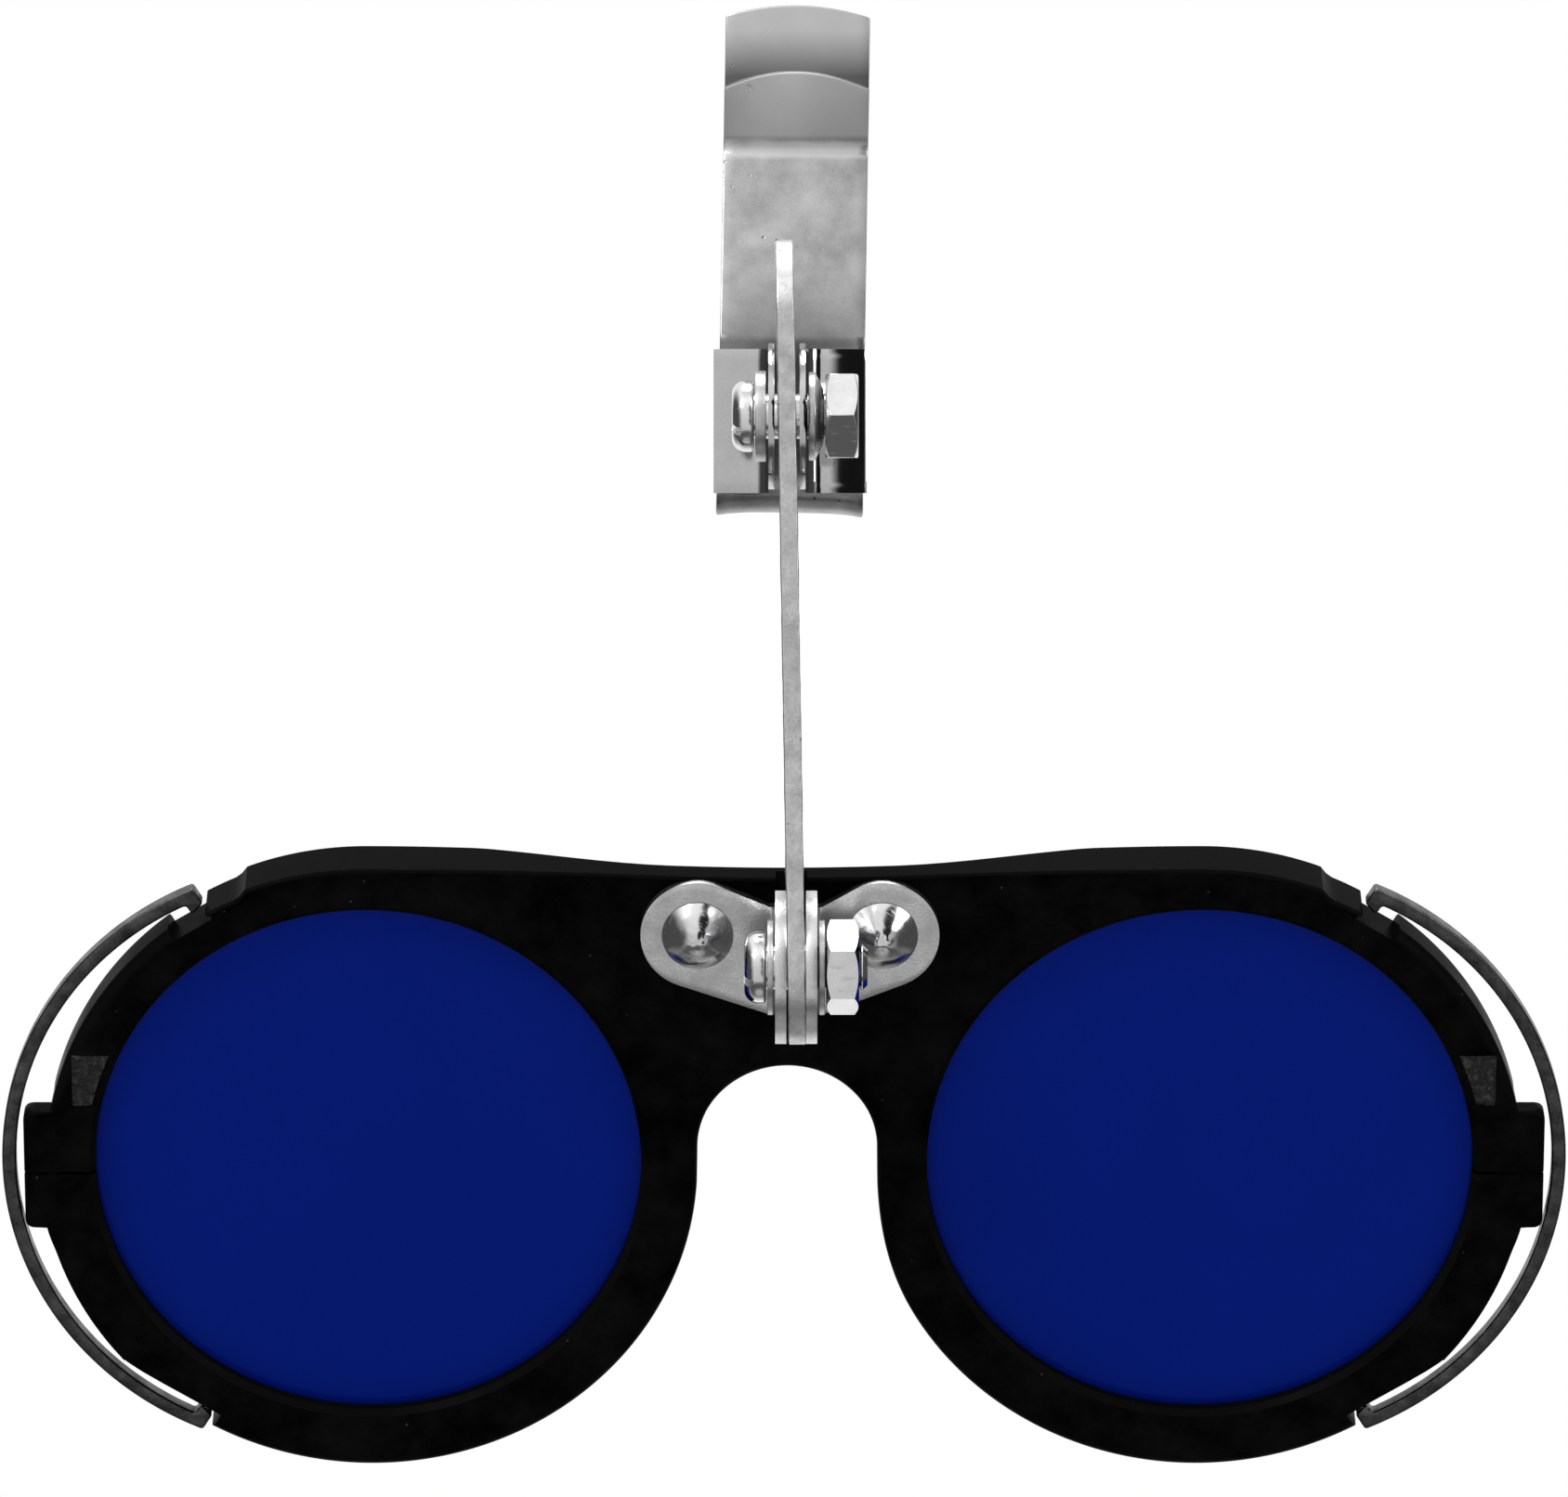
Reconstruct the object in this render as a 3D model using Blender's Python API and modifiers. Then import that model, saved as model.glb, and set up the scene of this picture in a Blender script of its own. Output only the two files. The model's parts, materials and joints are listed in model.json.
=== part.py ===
"""Clip-on viewing glasses: a visor clip, a flat arm, and two round cobalt lenses in a frame that flips up.

Axes: +X to the right, +Y away from the front, +Z up.  Lengths are in metres.
The origin is the bottom of the clip's throat, where the edge of the visor sits.
Run with: blender --background --python part.py
"""

import math

import bmesh
import bpy
from mathutils import Euler, Matrix, Vector

MM = 0.001

# ---- clearances ----
FIXED_GAP = 0.1 * MM        # between pieces that are clamped or fastened together
RUN_GAP = 0.2 * MM          # between pieces that move on each other

# ---- visor clip: one U-shaped spring strip, split at the bottom of its bend ----
STRIP_WIDTH = 12.3 * MM
STRIP_THICK = 0.6 * MM
THROAT = 5.4 * MM           # clear gap between the leaves just above the bend
PINCH = 0.9 * MM            # clear gap at the crease of the front leaf
REAR_HEIGHT = 41.0 * MM     # corner of the rear leaf above the origin
LIP_ARCH = 1.3 * MM         # how far the curved top edges rise between their corners
LEAN_START = 14.5 * MM      # the front leaf is upright up to here
CREASE_HEIGHT = 30.6 * MM
LIP_HEIGHT = 35.2 * MM
LIP_FLARE = 2.6 * MM        # how far the lip turns back towards the front
JAW_SPLIT = 0.2 * MM

# ---- hanging arm: half inch by one sixteenth flat bar ----
ARM_THICK = 1.5 * MM
ARM_WIDTH = 12.7 * MM
ARM_TAIL = 14.7 * MM        # above the upper pivot
ARM_TOE = 6.45 * MM         # below the lower pivot
ARM_LEAN = math.radians(0.95)
SLOT_TRAVEL = 10.0 * MM
PIVOT_SPACING = 46.0 * MM

# ---- pivots ----
SCREW_R = 1.9 * MM
HOLE_R = 2.1 * MM
HEAD_R = 3.0 * MM
HEAD_HEIGHT = 1.85 * MM
NUT_FLATS = 7.0 * MM
NUT_THICK = 2.75 * MM
NUT_BORE_R = 2.05 * MM
UPPER_EAR_GAP = ARM_THICK + 0.6 * MM   # leaves room for the arm's lean as it swings
LOWER_EAR_GAP = ARM_THICK + 2 * RUN_GAP
UPPER_STANDOFF = 16.0 * MM  # upper pivot to the front leaf
UPPER_X = -0.55 * MM        # middle of the upper ears
UPPER_Z = 7.1 * MM

# ---- upper bracket ----
UPPER_SHEET = 0.5 * MM
UPPER_EAR_R = 6.1 * MM
UPPER_FOLD = 1.6 * MM
UPPER_FLANGE = {"left": 6.75 * MM, "right": 6.15 * MM}   # the flange's free edge from the clip's middle
UPPER_WASHER_R = 3.8 * MM
UPPER_WASHER_THICK = 0.9 * MM
DISHED_RISE = 0.75 * MM
DISHED_THICK = 0.6 * MM
NUT_TURN = {"upper": 0.0, "lower": math.radians(17.8)}

# ---- lower bracket ----
LOWER_SHEET = 0.85 * MM
LOWER_STANDOFF = 7.8 * MM   # lower pivot to the front face of the frame
LOWER_EAR_R = 6.4 * MM
LOWER_FOLD = 0.9 * MM
LOBE_R = 4.8 * MM
NECK_TOP = 2.6 * MM         # upper edge of the bracket's neck above the pivot
NECK_BOTTOM = -7.2 * MM
RIVET_X = 7.75 * MM
RIVETS_MIDDLE = -0.3 * MM   # the rivets' middle plane
RIVET_R = 1.5 * MM
RIVET_HOLE_R = 1.7 * MM
DOME_R = 3.0 * MM
DOME_HEIGHT = 1.7 * MM
TAIL_R = 2.4 * MM
TAIL_LENGTH = 0.9 * MM
RIVET_WASHER_R = 3.6 * MM
RIVET_WASHER_THICK = 0.6 * MM
LOWER_WASHER_R = 4.0 * MM
LOWER_WASHER_THICK = 0.5 * MM
BOLT_END = 0.7 * MM

# ---- lens frame ----
TILT = math.radians(22.0)   # top of the frame leans to the front
FRAME_X = -0.8 * MM         # the frame's middle plane
FRAME_THICK = 4.6 * MM
FRAME_EDGE = 1.1 * MM       # rounding of the outer edge
WEB_THICK = 2.1 * MM        # the web between the rims, sunk from the back
WEB_R = 26.6 * MM           # where the web meets the rims, from the lens centre
LENS_X = 35.2 * MM
LENS_DROP = 21.4 * MM       # lens centres below the lower pivot, along the frame
RIM_R = 27.9 * MM
RIM_Z = -0.5 * MM           # middle of the rim's outer edge, from the lens centre
SPRING_SEAT_R = 27.35 * MM  # upper outer stretch of the rim
SEAT_ANGLE = math.radians(68.0)
OPENING_R = 23.1 * MM
LENS_R = 24.9 * MM
LENS_THICK = 2.0 * MM
GROOVE_R = 25.1 * MM
FRONT_LIP = 1.5 * MM
GROOVE_WIDTH = 2.2 * MM
RIM_CHAMFER = 0.5 * MM
BROW_SAG = 1.1 * MM         # how far the brow dips between the rims
BROW_NOTCH = (3.1 * MM, 0.25 * MM)   # its width, and the gap behind the arm
NOSE_R = 7.6 * MM
NOSE_CENTRE = (0.27 * MM, 1.1 * MM)  # from the middle, and above the lens centres
NOSE_BLEND = math.radians(150.0)     # where the rims begin to run into the nose arch
TAB_REACH = 29.15 * MM      # from the lens centre
TAB_TOP = 5.2 * MM
TAB_BOTTOM = -6.0 * MM
SPLIT_AT = -0.9 * MM
SPLIT_GAP = 0.4 * MM
PAD_DEPTH = 0.3 * MM        # sunk grip pad above each upper tab
PAD_SIZE = (4.5 * MM, 4.7 * MM)
PAD_AT = (22.75 * MM, 7.6 * MM)

# ---- bow springs ----
BOW_THICK = 1.2 * MM
BOW_WIDTH = 1.5 * MM
BOW_REACH = 30.5 * MM       # middle of the spring, from the rim's middle
HOOK_ANGLE = math.radians(58.6)
HOOK_R = 28.45 * MM         # middle of the spring where it turns in to its notch
HOOK_DEPTH = 1.0 * MM
HOOK_PIVOT_R = 27.0 * MM    # where the hooked end turns in its notch
NOTCH_FLOOR_R = 26.3 * MM
NOTCH_SHOULDER = 0.9 * MM   # from the hook's middle to the notch's shoulder
NOTCH_RUN = {"upper": 2.9 * MM, "lower": 8.5 * MM}   # from the hook's middle towards the tab

# ---- derived places ----
BEND_R = (THROAT + STRIP_THICK) / 2
LEAF_Y = -BEND_R                                     # middle of the front leaf's sheet
LEAF_FRONT = LEAF_Y - STRIP_THICK / 2
PIVOT_Y = LEAF_FRONT - UPPER_STANDOFF
UPPER_PIVOT = Vector((UPPER_X, PIVOT_Y, UPPER_Z))
ARM_DOWN = Vector((math.sin(ARM_LEAN), 0.0, -math.cos(ARM_LEAN)))
LOWER_PIVOT = UPPER_PIVOT + ARM_DOWN * PIVOT_SPACING
FRAME_SHIFT = FRAME_X - LOWER_PIVOT.x                # the frame's middle plane, from the lower pivot
RIVET_SHIFT = RIVETS_MIDDLE - LOWER_PIVOT.x
WEB_BACK = LOWER_STANDOFF + WEB_THICK                # back of the web, from the lower pivot
SIDES = {"left": -1, "right": 1}


# ---------------------------------------------------------------- scene helpers

def clear_scene():
    for old in list(bpy.data.objects):
        bpy.data.objects.remove(old, do_unlink=True)


def new_collection(name):
    collection = bpy.data.collections.new(name)
    bpy.context.scene.collection.children.link(collection)
    return collection


def make_material(name, colour, roughness, metallic):
    material = bpy.data.materials.new(name)
    material.use_nodes = True
    shader = material.node_tree.nodes["Principled BSDF"]
    shader.inputs["Base Color"].default_value = (*colour, 1.0)
    shader.inputs["Roughness"].default_value = roughness
    shader.inputs["Metallic"].default_value = metallic
    return material


def axis_empty(name, location, rotation=(0.0, 0.0, 0.0)):
    """An empty on a joint's axis, which the pieces that turn on it are parented to."""
    empty = bpy.data.objects.new(name, None)
    empty.empty_display_size = 5 * MM
    empty.location = location
    empty.rotation_euler = rotation
    PARTS.objects.link(empty)
    return empty


def add_object(name, mesh, collection, material=None, parent=None, location=(0, 0, 0), rotation=(0, 0, 0)):
    """Links a mesh as a named object, in its collection and under its parent."""
    piece = bpy.data.objects.new(name, mesh)
    piece.location = location
    piece.rotation_euler = rotation
    piece.parent = parent
    if material is not None:
        mesh.materials.append(material)
    collection.objects.link(piece)
    return piece


def mesh_from(bm, name):
    mesh = bpy.data.meshes.new(name)
    bm.to_mesh(mesh)
    bm.free()
    return mesh


def cut(piece, cutter):
    """Takes the cutter out of the piece and hides the cutter."""
    cutter.display_type = "WIRE"
    cutter.hide_render = True
    modifier = piece.modifiers.new("cut_" + cutter.name, "BOOLEAN")
    modifier.operation = "DIFFERENCE"
    modifier.object = cutter


# ---------------------------------------------------------------- shape helpers

def arc(centre, radius, start, end, steps):
    """Points on an arc from start to end, in radians, both ends included."""
    angles = [start + (end - start) * i / steps for i in range(steps + 1)]
    return [(centre[0] + radius * math.cos(a), centre[1] + radius * math.sin(a)) for a in angles]


def plate_mesh(name, outlines, thickness, edge=0.0):
    """A flat plate centred on the XY plane, from closed outlines: the first is its edge, others are holes."""
    curve = bpy.data.curves.new(name, "CURVE")
    curve.dimensions = "2D"
    curve.fill_mode = "BOTH"
    curve.extrude = thickness / 2 - edge
    curve.bevel_depth = edge
    curve.bevel_resolution = 2
    curve.offset = -edge
    curve.render_resolution_u = 0
    for outline in outlines:
        spline = curve.splines.new("POLY")
        spline.points.add(len(outline) - 1)
        for point, (x, y) in zip(spline.points, outline):
            point.co = (x, y, 0.0, 1.0)
        spline.use_cyclic_u = True
    holder = bpy.data.objects.new(name, curve)
    bpy.context.scene.collection.objects.link(holder)
    depsgraph = bpy.context.evaluated_depsgraph_get()
    mesh = bpy.data.meshes.new_from_object(holder.evaluated_get(depsgraph))
    bpy.data.objects.remove(holder, do_unlink=True)
    bpy.data.curves.remove(curve)
    bm = bmesh.new()
    bm.from_mesh(mesh)
    bmesh.ops.remove_doubles(bm, verts=bm.verts, dist=0.00001)
    bmesh.ops.recalc_face_normals(bm, faces=bm.faces)
    bm.to_mesh(mesh)
    bm.free()
    mesh.name = name
    return mesh


def sheet_mesh(name, rows, place):
    """An open sheet whose rows are (along, out, low, high); place turns (along, out, across) to a point."""
    bm = bmesh.new()
    bmesh.ops.create_grid(bm, x_segments=len(rows) - 1, y_segments=2, size=1.0)
    for vert in bm.verts:
        along, out, low, high = rows[round((vert.co.x + 1) / 2 * (len(rows) - 1))]
        across = low + (high - low) * (vert.co.y + 1) / 2
        vert.co = place(along, out, across)
    return mesh_from(bm, name)


def thicken(piece, thickness):
    solid = piece.modifiers.new("thickness", "SOLIDIFY")
    solid.thickness = thickness
    solid.offset = 0.0
    solid.use_even_offset = True


def turned(name, profile, steps, collection, material=None, parent=None, location=(0, 0, 0),
           rotation=(0, 0, 0)):
    """A solid of revolution about its own Z, from (radius, height) points down the outer side."""
    bm = bmesh.new()
    verts = [bm.verts.new((radius, 0.0, height)) for radius, height in profile]
    closed = profile[0][0] > 0
    for first, second in zip(verts, verts[1:]):
        bm.edges.new((first, second))
    if closed:
        bm.edges.new((verts[-1], verts[0]))
    piece = add_object(name, mesh_from(bm, name), collection, material, parent, location, rotation)
    screw = piece.modifiers.new("turn", "SCREW")
    screw.steps = steps
    screw.render_steps = steps
    screw.use_merge_vertices = True
    screw.merge_threshold = 0.00001
    screw.use_smooth_shade = True
    return piece


def cylinder_cutter(name, radius, length, parent, location, rotation):
    bm = bmesh.new()
    bmesh.ops.create_cone(bm, cap_ends=True, segments=32, radius1=radius, radius2=radius, depth=length)
    return add_object(name, mesh_from(bm, name), CUTTERS, None, parent, location, rotation)


def box_cutter(name, size, parent, location, rotation=(0, 0, 0)):
    bm = bmesh.new()
    bmesh.ops.create_cube(bm, size=1.0, matrix=Matrix.Diagonal((*size, 1.0)))
    return add_object(name, mesh_from(bm, name), CUTTERS, None, parent, location, rotation)


# ---------------------------------------------------------------- visor clip

ALONG_X = (0.0, math.pi / 2, 0.0)      # turns a piece's own Z to +X
AGAINST_X = (0.0, -math.pi / 2, 0.0)   # turns a piece's own Z to -X
FACING = (math.pi / 2, 0.0, 0.0)       # stands a flat plate up, its own Z towards the front


def leaf_mesh(name, path, arch):
    """The clip's strip along a (y, z) path; its last stretch is lengthened in the middle to arch the end."""
    bm = bmesh.new()
    bmesh.ops.create_grid(bm, x_segments=8, y_segments=len(path) - 1, size=1.0)
    tip = Vector(path[-1]) - Vector(path[-2])
    for vert in bm.verts:
        across = vert.co.x
        row = round((vert.co.y + 1) / 2 * (len(path) - 1))
        y, z = path[row]
        if row == len(path) - 1:
            rise = arch * (1 - across ** 2) / tip.length
            y += tip.x * rise
            z += tip.y * rise
        vert.co = (across * STRIP_WIDTH / 2, y, z)
    return mesh_from(bm, name)


def clip_front_leaf(material):
    centre = (0.0, BEND_R - STRIP_THICK / 2)
    split = math.asin(JAW_SPLIT / 2 / BEND_R)
    bend = arc(centre, BEND_R, -math.pi / 2 - split, -math.pi, 10)
    crease_y = BEND_R - STRIP_THICK - PINCH
    path = bend + [
        (LEAF_Y, LEAN_START - 1.5 * MM),
        (LEAF_Y + 0.08 * MM, LEAN_START),
        (crease_y - 0.1 * MM, CREASE_HEIGHT - 0.6 * MM),
        (crease_y, CREASE_HEIGHT),
        (crease_y - 0.15 * MM, CREASE_HEIGHT + 0.6 * MM),
        (crease_y - LIP_FLARE, LIP_HEIGHT),
    ]
    piece = add_object("clip_front_leaf", leaf_mesh("clip_front_leaf", path, LIP_ARCH), PARTS, material)
    thicken(piece, STRIP_THICK)


def clip_rear_leaf(material, jaw):
    centre = (0.0, BEND_R - STRIP_THICK / 2)
    split = math.asin(JAW_SPLIT / 2 / BEND_R)
    bend = arc(centre, BEND_R, -math.pi / 2 + split, 0.0, 10)
    path = bend + [(BEND_R, REAR_HEIGHT - 2 * MM), (BEND_R, REAR_HEIGHT)]
    path = [(y, z - jaw.location.z) for y, z in path]
    piece = add_object("clip_rear_leaf", leaf_mesh("clip_rear_leaf", path, LIP_ARCH), PARTS, material, jaw)
    thicken(piece, STRIP_THICK)


# ---------------------------------------------------------------- upper bracket and pivot

def upper_bracket(side, sign, material):
    """A folded strip: its flange lies on the front leaf, its round-ended ear stands out beside the arm."""
    ear_x = UPPER_X + sign * (UPPER_EAR_GAP + UPPER_SHEET) / 2
    flange_y = LEAF_FRONT - FIXED_GAP - UPPER_SHEET / 2
    edge_x = sign * UPPER_FLANGE[side]
    fold = [
        (ear_x + sign * UPPER_FOLD * (1 - math.sin(a)), flange_y - UPPER_FOLD * (1 - math.cos(a)))
        for a in (i * math.pi / 12 for i in range(7))
    ]
    rows = [(edge_x, flange_y, -UPPER_EAR_R, UPPER_EAR_R)]
    rows += [(x, y, -UPPER_EAR_R, UPPER_EAR_R) for x, y in fold]
    for i in range(9):
        angle = math.radians(84.0) * i / 8
        half = UPPER_EAR_R * math.cos(angle)
        rows.append((ear_x, PIVOT_Y - UPPER_EAR_R * math.sin(angle), -half, half))
    mesh = sheet_mesh("upper_bracket_" + side, rows, lambda x, y, z: (x, y, UPPER_Z + z))
    piece = add_object("upper_bracket_" + side, mesh, PARTS, material)
    thicken(piece, UPPER_SHEET)
    cut(piece, cylinder_cutter("upper_hole_" + side, HOLE_R, 4 * MM, None,
                               (ear_x, PIVOT_Y, UPPER_Z), ALONG_X))


def pan_screw(name, under_head, end, parent, material):
    """A pan head screw along X, its head at -X; under_head and end are along X from the pivot."""
    crown = [(HEAD_R * math.sin(a), HEAD_HEIGHT * 0.45 + HEAD_HEIGHT * 0.55 * math.cos(a))
             for a in (i * math.pi / 12 for i in range(7))]
    length = end - under_head
    profile = crown + [
        (HEAD_R, 0.0),
        (SCREW_R, 0.0),
        (SCREW_R, 0.3 * MM - length),
        (SCREW_R - 0.3 * MM, -length),
        (0.0, -length),
    ]
    turned(name, profile, 32, PARTS, material, parent, (under_head, 0.0, 0.0), AGAINST_X)


def washer(name, radius, thick, at, parent, material):
    """A flat washer whose face nearer -X is at the given X."""
    profile = [(HOLE_R, thick), (radius, thick), (radius, 0.0), (HOLE_R, 0.0)]
    turned(name, profile, 32, PARTS, material, parent, (at, 0.0, 0.0), ALONG_X)


def dished_washer(name, radius, at, parent, material):
    """A conical spring washer: its rim bears on the ear and its crown bears on the nut."""
    profile = [
        (HOLE_R, DISHED_RISE + DISHED_THICK),
        (radius, DISHED_THICK),
        (radius, 0.0),
        (HOLE_R, DISHED_RISE),
    ]
    turned(name, profile, 32, PARTS, material, parent, (at, 0.0, 0.0), ALONG_X)


def hex_nut(name, at, turn, parent, material):
    """A hexagon nut with chamfered corners; turn is its rotation about X."""
    corner_r = NUT_FLATS / 2 / math.cos(math.pi / 6)
    bm = bmesh.new()
    bmesh.ops.create_cone(bm, cap_ends=True, segments=6, radius1=corner_r, radius2=corner_r, depth=NUT_THICK)
    mesh = mesh_from(bm, name)
    piece = add_object(name, mesh, PARTS, material, parent, (at + NUT_THICK / 2, 0.0, 0.0))
    piece.rotation_euler = (Euler((turn, 0, 0)).to_matrix() @ Euler(ALONG_X).to_matrix()).to_euler()
    bevel = piece.modifiers.new("corners", "BEVEL")
    bevel.width = 0.25 * MM
    bevel.segments = 1
    bevel.limit_method = "ANGLE"
    bevel.angle_limit = math.radians(75.0)
    bore = cylinder_cutter(name + "_bore", NUT_BORE_R, NUT_THICK * 2, parent,
                           (at + NUT_THICK / 2, 0.0, 0.0), ALONG_X)
    cut(piece, bore)


def upper_pivot(pivot, zinc, bright):
    ear_outer = UPPER_EAR_GAP / 2 + UPPER_SHEET
    left_washer = -ear_outer - RUN_GAP - UPPER_WASHER_THICK
    right_washer = ear_outer + RUN_GAP
    nut_at = right_washer + DISHED_RISE + DISHED_THICK + FIXED_GAP
    washer("upper_washer", UPPER_WASHER_R, UPPER_WASHER_THICK, left_washer, pivot, zinc)
    dished_washer("upper_spring_washer", UPPER_WASHER_R - 0.1 * MM, right_washer, pivot, zinc)
    pan_screw("upper_screw", left_washer - FIXED_GAP, nut_at + NUT_THICK - 0.2 * MM, pivot, bright)
    hex_nut("upper_nut", nut_at, NUT_TURN["upper"], pivot, bright)


# ---------------------------------------------------------------- arm

def arm(parent, material):
    """A flat bar with round ends, a long slot for the upper screw and a hole for the lower one.

    Its outline is drawn with the lower pivot at the origin and the bar along +Y."""
    half = ARM_WIDTH / 2
    top = PIVOT_SPACING + ARM_TAIL - half
    outline = arc((0.0, half - ARM_TOE), half, math.pi, 2 * math.pi, 16)
    outline += arc((0.0, top), half, 0.0, math.pi, 16)
    hole = arc((0.0, 0.0), HOLE_R, 0.0, 2 * math.pi, 24)[:-1]
    slot = arc((0.0, PIVOT_SPACING), HOLE_R, math.pi, 2 * math.pi, 12)
    slot += arc((0.0, PIVOT_SPACING + SLOT_TRAVEL), HOLE_R, 0.0, math.pi, 12)
    mesh = plate_mesh("arm", [outline, hole, slot], ARM_THICK)
    stand = Matrix.Rotation(-ARM_LEAN, 3, "Y") @ Euler((math.pi / 2, 0, math.pi / 2)).to_matrix()
    piece = add_object("arm", mesh, PARTS, material, parent)
    piece.rotation_euler = stand.to_euler()


# ---------------------------------------------------------------- lens frame

def rim_side(sign):
    """One side of the frame's outline, from the middle of the brow round to the foot of the nose arch."""
    centre = (LENS_X, RIM_Z)
    tab_top = math.asin((TAB_TOP - RIM_Z) / SPRING_SEAT_R)
    tab_bottom = math.asin((TAB_BOTTOM - RIM_Z) / RIM_R)
    foot_r = LENS_X - NOSE_R - sign * NOSE_CENTRE[0]
    brow = RIM_Z + RIM_R
    points = [
        (LENS_X * i / 10, brow - BROW_SAG * (1 + math.cos(math.pi * i / 10)) / 2)
        for i in range(10)
    ]
    points += arc(centre, RIM_R, math.pi / 2, SEAT_ANGLE, 4)
    points += arc(centre, SPRING_SEAT_R, SEAT_ANGLE, tab_top, 12)
    points += [(LENS_X + TAB_REACH, TAB_TOP), (LENS_X + TAB_REACH, TAB_BOTTOM)]
    points += arc(centre, RIM_R, tab_bottom, -NOSE_BLEND, 32)
    for i in range(1, 6):
        angle = -NOSE_BLEND - (math.pi - NOSE_BLEND) * i / 5
        radius = RIM_R + (foot_r - RIM_R) * i / 5
        points.append((LENS_X + radius * math.cos(angle), RIM_Z + radius * math.sin(angle)))
    return [(sign * x, z) for x, z in points]


def frame_outline():
    """The frame's outline, from the middle of the brow; height is measured from the lens centres."""
    nose = arc(NOSE_CENTRE, NOSE_R, 0.0, math.pi, 20)
    return rim_side(1) + nose + list(reversed(rim_side(-1)[1:]))


def lens_cutter(side, sign, parent):
    """The opening of one rim with its lens groove, turned about the lens axis, front at +Z."""
    back = -FRAME_THICK
    profile = [
        (0.0, 1 * MM),
        (OPENING_R + RIM_CHAMFER + 1 * MM, 1 * MM),
        (OPENING_R, -RIM_CHAMFER),
        (OPENING_R, -FRONT_LIP),
        (GROOVE_R, -FRONT_LIP),
        (GROOVE_R, -FRONT_LIP - GROOVE_WIDTH),
        (OPENING_R, -FRONT_LIP - GROOVE_WIDTH),
        (OPENING_R, back - 1 * MM),
        (0.0, back - 1 * MM),
    ]
    location = (FRAME_SHIFT + sign * LENS_X, LOWER_STANDOFF, -LENS_DROP)
    return turned("lens_opening_" + side, profile, 64, CUTTERS, None, parent, location, FACING)


def web_pocket(parent):
    """The hollow behind the web, between the backs of the two rims and open at the brow."""
    depth = FRAME_THICK - WEB_THICK
    side = arc((LENS_X, 0.0), WEB_R, math.radians(172.0), math.radians(105.0), 16)
    side.append((side[-1][0], RIM_R + RIM_R / 4))
    outline = side + [(-x, z) for x, z in reversed(side)]
    mesh = plate_mesh("web_pocket", [outline], 2 * depth)
    middle = (FRAME_SHIFT, LOWER_STANDOFF + FRAME_THICK, -LENS_DROP)
    return add_object("web_pocket", mesh, CUTTERS, None, parent, middle, FACING)


def spring_notch(name, sign, end, parent, rim_middle):
    """A shallow notch in the rim with a shoulder behind the hooked end and a run-out towards the tab."""
    up = 1 if end == "upper" else -1
    depth = 3 * MM
    reach = NOTCH_FLOOR_R + depth / 2
    run = (NOTCH_RUN[end] - NOTCH_SHOULDER) / 2
    radial = Vector((math.cos(HOOK_ANGLE), 0.0, math.sin(HOOK_ANGLE)))
    towards_tab = Vector((math.sin(HOOK_ANGLE), 0.0, -math.cos(HOOK_ANGLE)))
    spot = (radial * reach + towards_tab * run) * Vector((sign, 1, up))
    size = (depth, 2 * FRAME_THICK, NOTCH_RUN[end] + NOTCH_SHOULDER)
    return box_cutter(name, size, parent, rim_middle + spot, (0.0, -sign * up * HOOK_ANGLE, 0.0))


def brow_notch(pivot_empty):
    """The slot in the brow that the arm's rear edge rests in: the frame's stop."""
    width, gap = BROW_NOTCH
    depth = 4 * MM
    size = (width, depth, 12 * MM)
    spot = (-0.1 * MM, ARM_WIDTH / 2 + gap - depth / 2, 7.5 * MM)
    return box_cutter("brow_notch", size, pivot_empty, spot)


def lens_frame(parent, pivot_empty, material):
    mesh = plate_mesh("lens_frame", [frame_outline()], FRAME_THICK, FRAME_EDGE)
    middle = Vector((FRAME_SHIFT, LOWER_STANDOFF + FRAME_THICK / 2, -LENS_DROP))
    frame = add_object("lens_frame", mesh, PARTS, material, parent, middle, FACING)
    mesh.shade_smooth()
    mesh.set_sharp_from_angle(angle=math.radians(35.0))
    cut(frame, web_pocket(parent))
    for side, sign in SIDES.items():
        cut(frame, lens_cutter(side, sign, parent))
        outward = middle + Vector((sign * LENS_X, 0.0, 0.0))
        split_size = (8 * MM, 4 * FRAME_THICK, SPLIT_GAP)
        split_at = outward + Vector((sign * (OPENING_R + 3 * MM), 0.0, SPLIT_AT))
        cut(frame, box_cutter("rim_split_" + side, split_size, parent, split_at))
        pad_size = (PAD_SIZE[0], 2 * PAD_DEPTH, PAD_SIZE[1])
        pad_at = outward + Vector((sign * PAD_AT[0], -FRAME_THICK / 2, PAD_AT[1]))
        cut(frame, box_cutter("grip_pad_" + side, pad_size, parent, pad_at))
        rim_middle = outward + Vector((0.0, 0.0, RIM_Z))
        for end in NOTCH_RUN:
            cut(frame, spring_notch(f"spring_notch_{end}_{side}", sign, end, parent, rim_middle))
        cut(frame, cylinder_cutter("rivet_hole_" + side, RIVET_HOLE_R, 2 * FRAME_THICK, parent,
                                   (RIVET_SHIFT + sign * RIVET_X, middle.y, 0.0), FACING))
    cut(frame, brow_notch(pivot_empty))


def lens(side, sign, parent, material):
    bm = bmesh.new()
    bmesh.ops.create_cone(bm, cap_ends=True, segments=64, radius1=LENS_R, radius2=LENS_R, depth=LENS_THICK)
    mesh = mesh_from(bm, "lens_" + side)
    depth = LOWER_STANDOFF + FRONT_LIP + FIXED_GAP + LENS_THICK / 2
    location = (FRAME_SHIFT + sign * LENS_X, depth, -LENS_DROP)
    piece = add_object("lens_" + side, mesh, PARTS, material, parent, location, FACING)
    bevel = piece.modifiers.new("edge", "BEVEL")
    bevel.width = 0.25 * MM
    bevel.segments = 1
    bevel.limit_method = "ANGLE"


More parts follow.
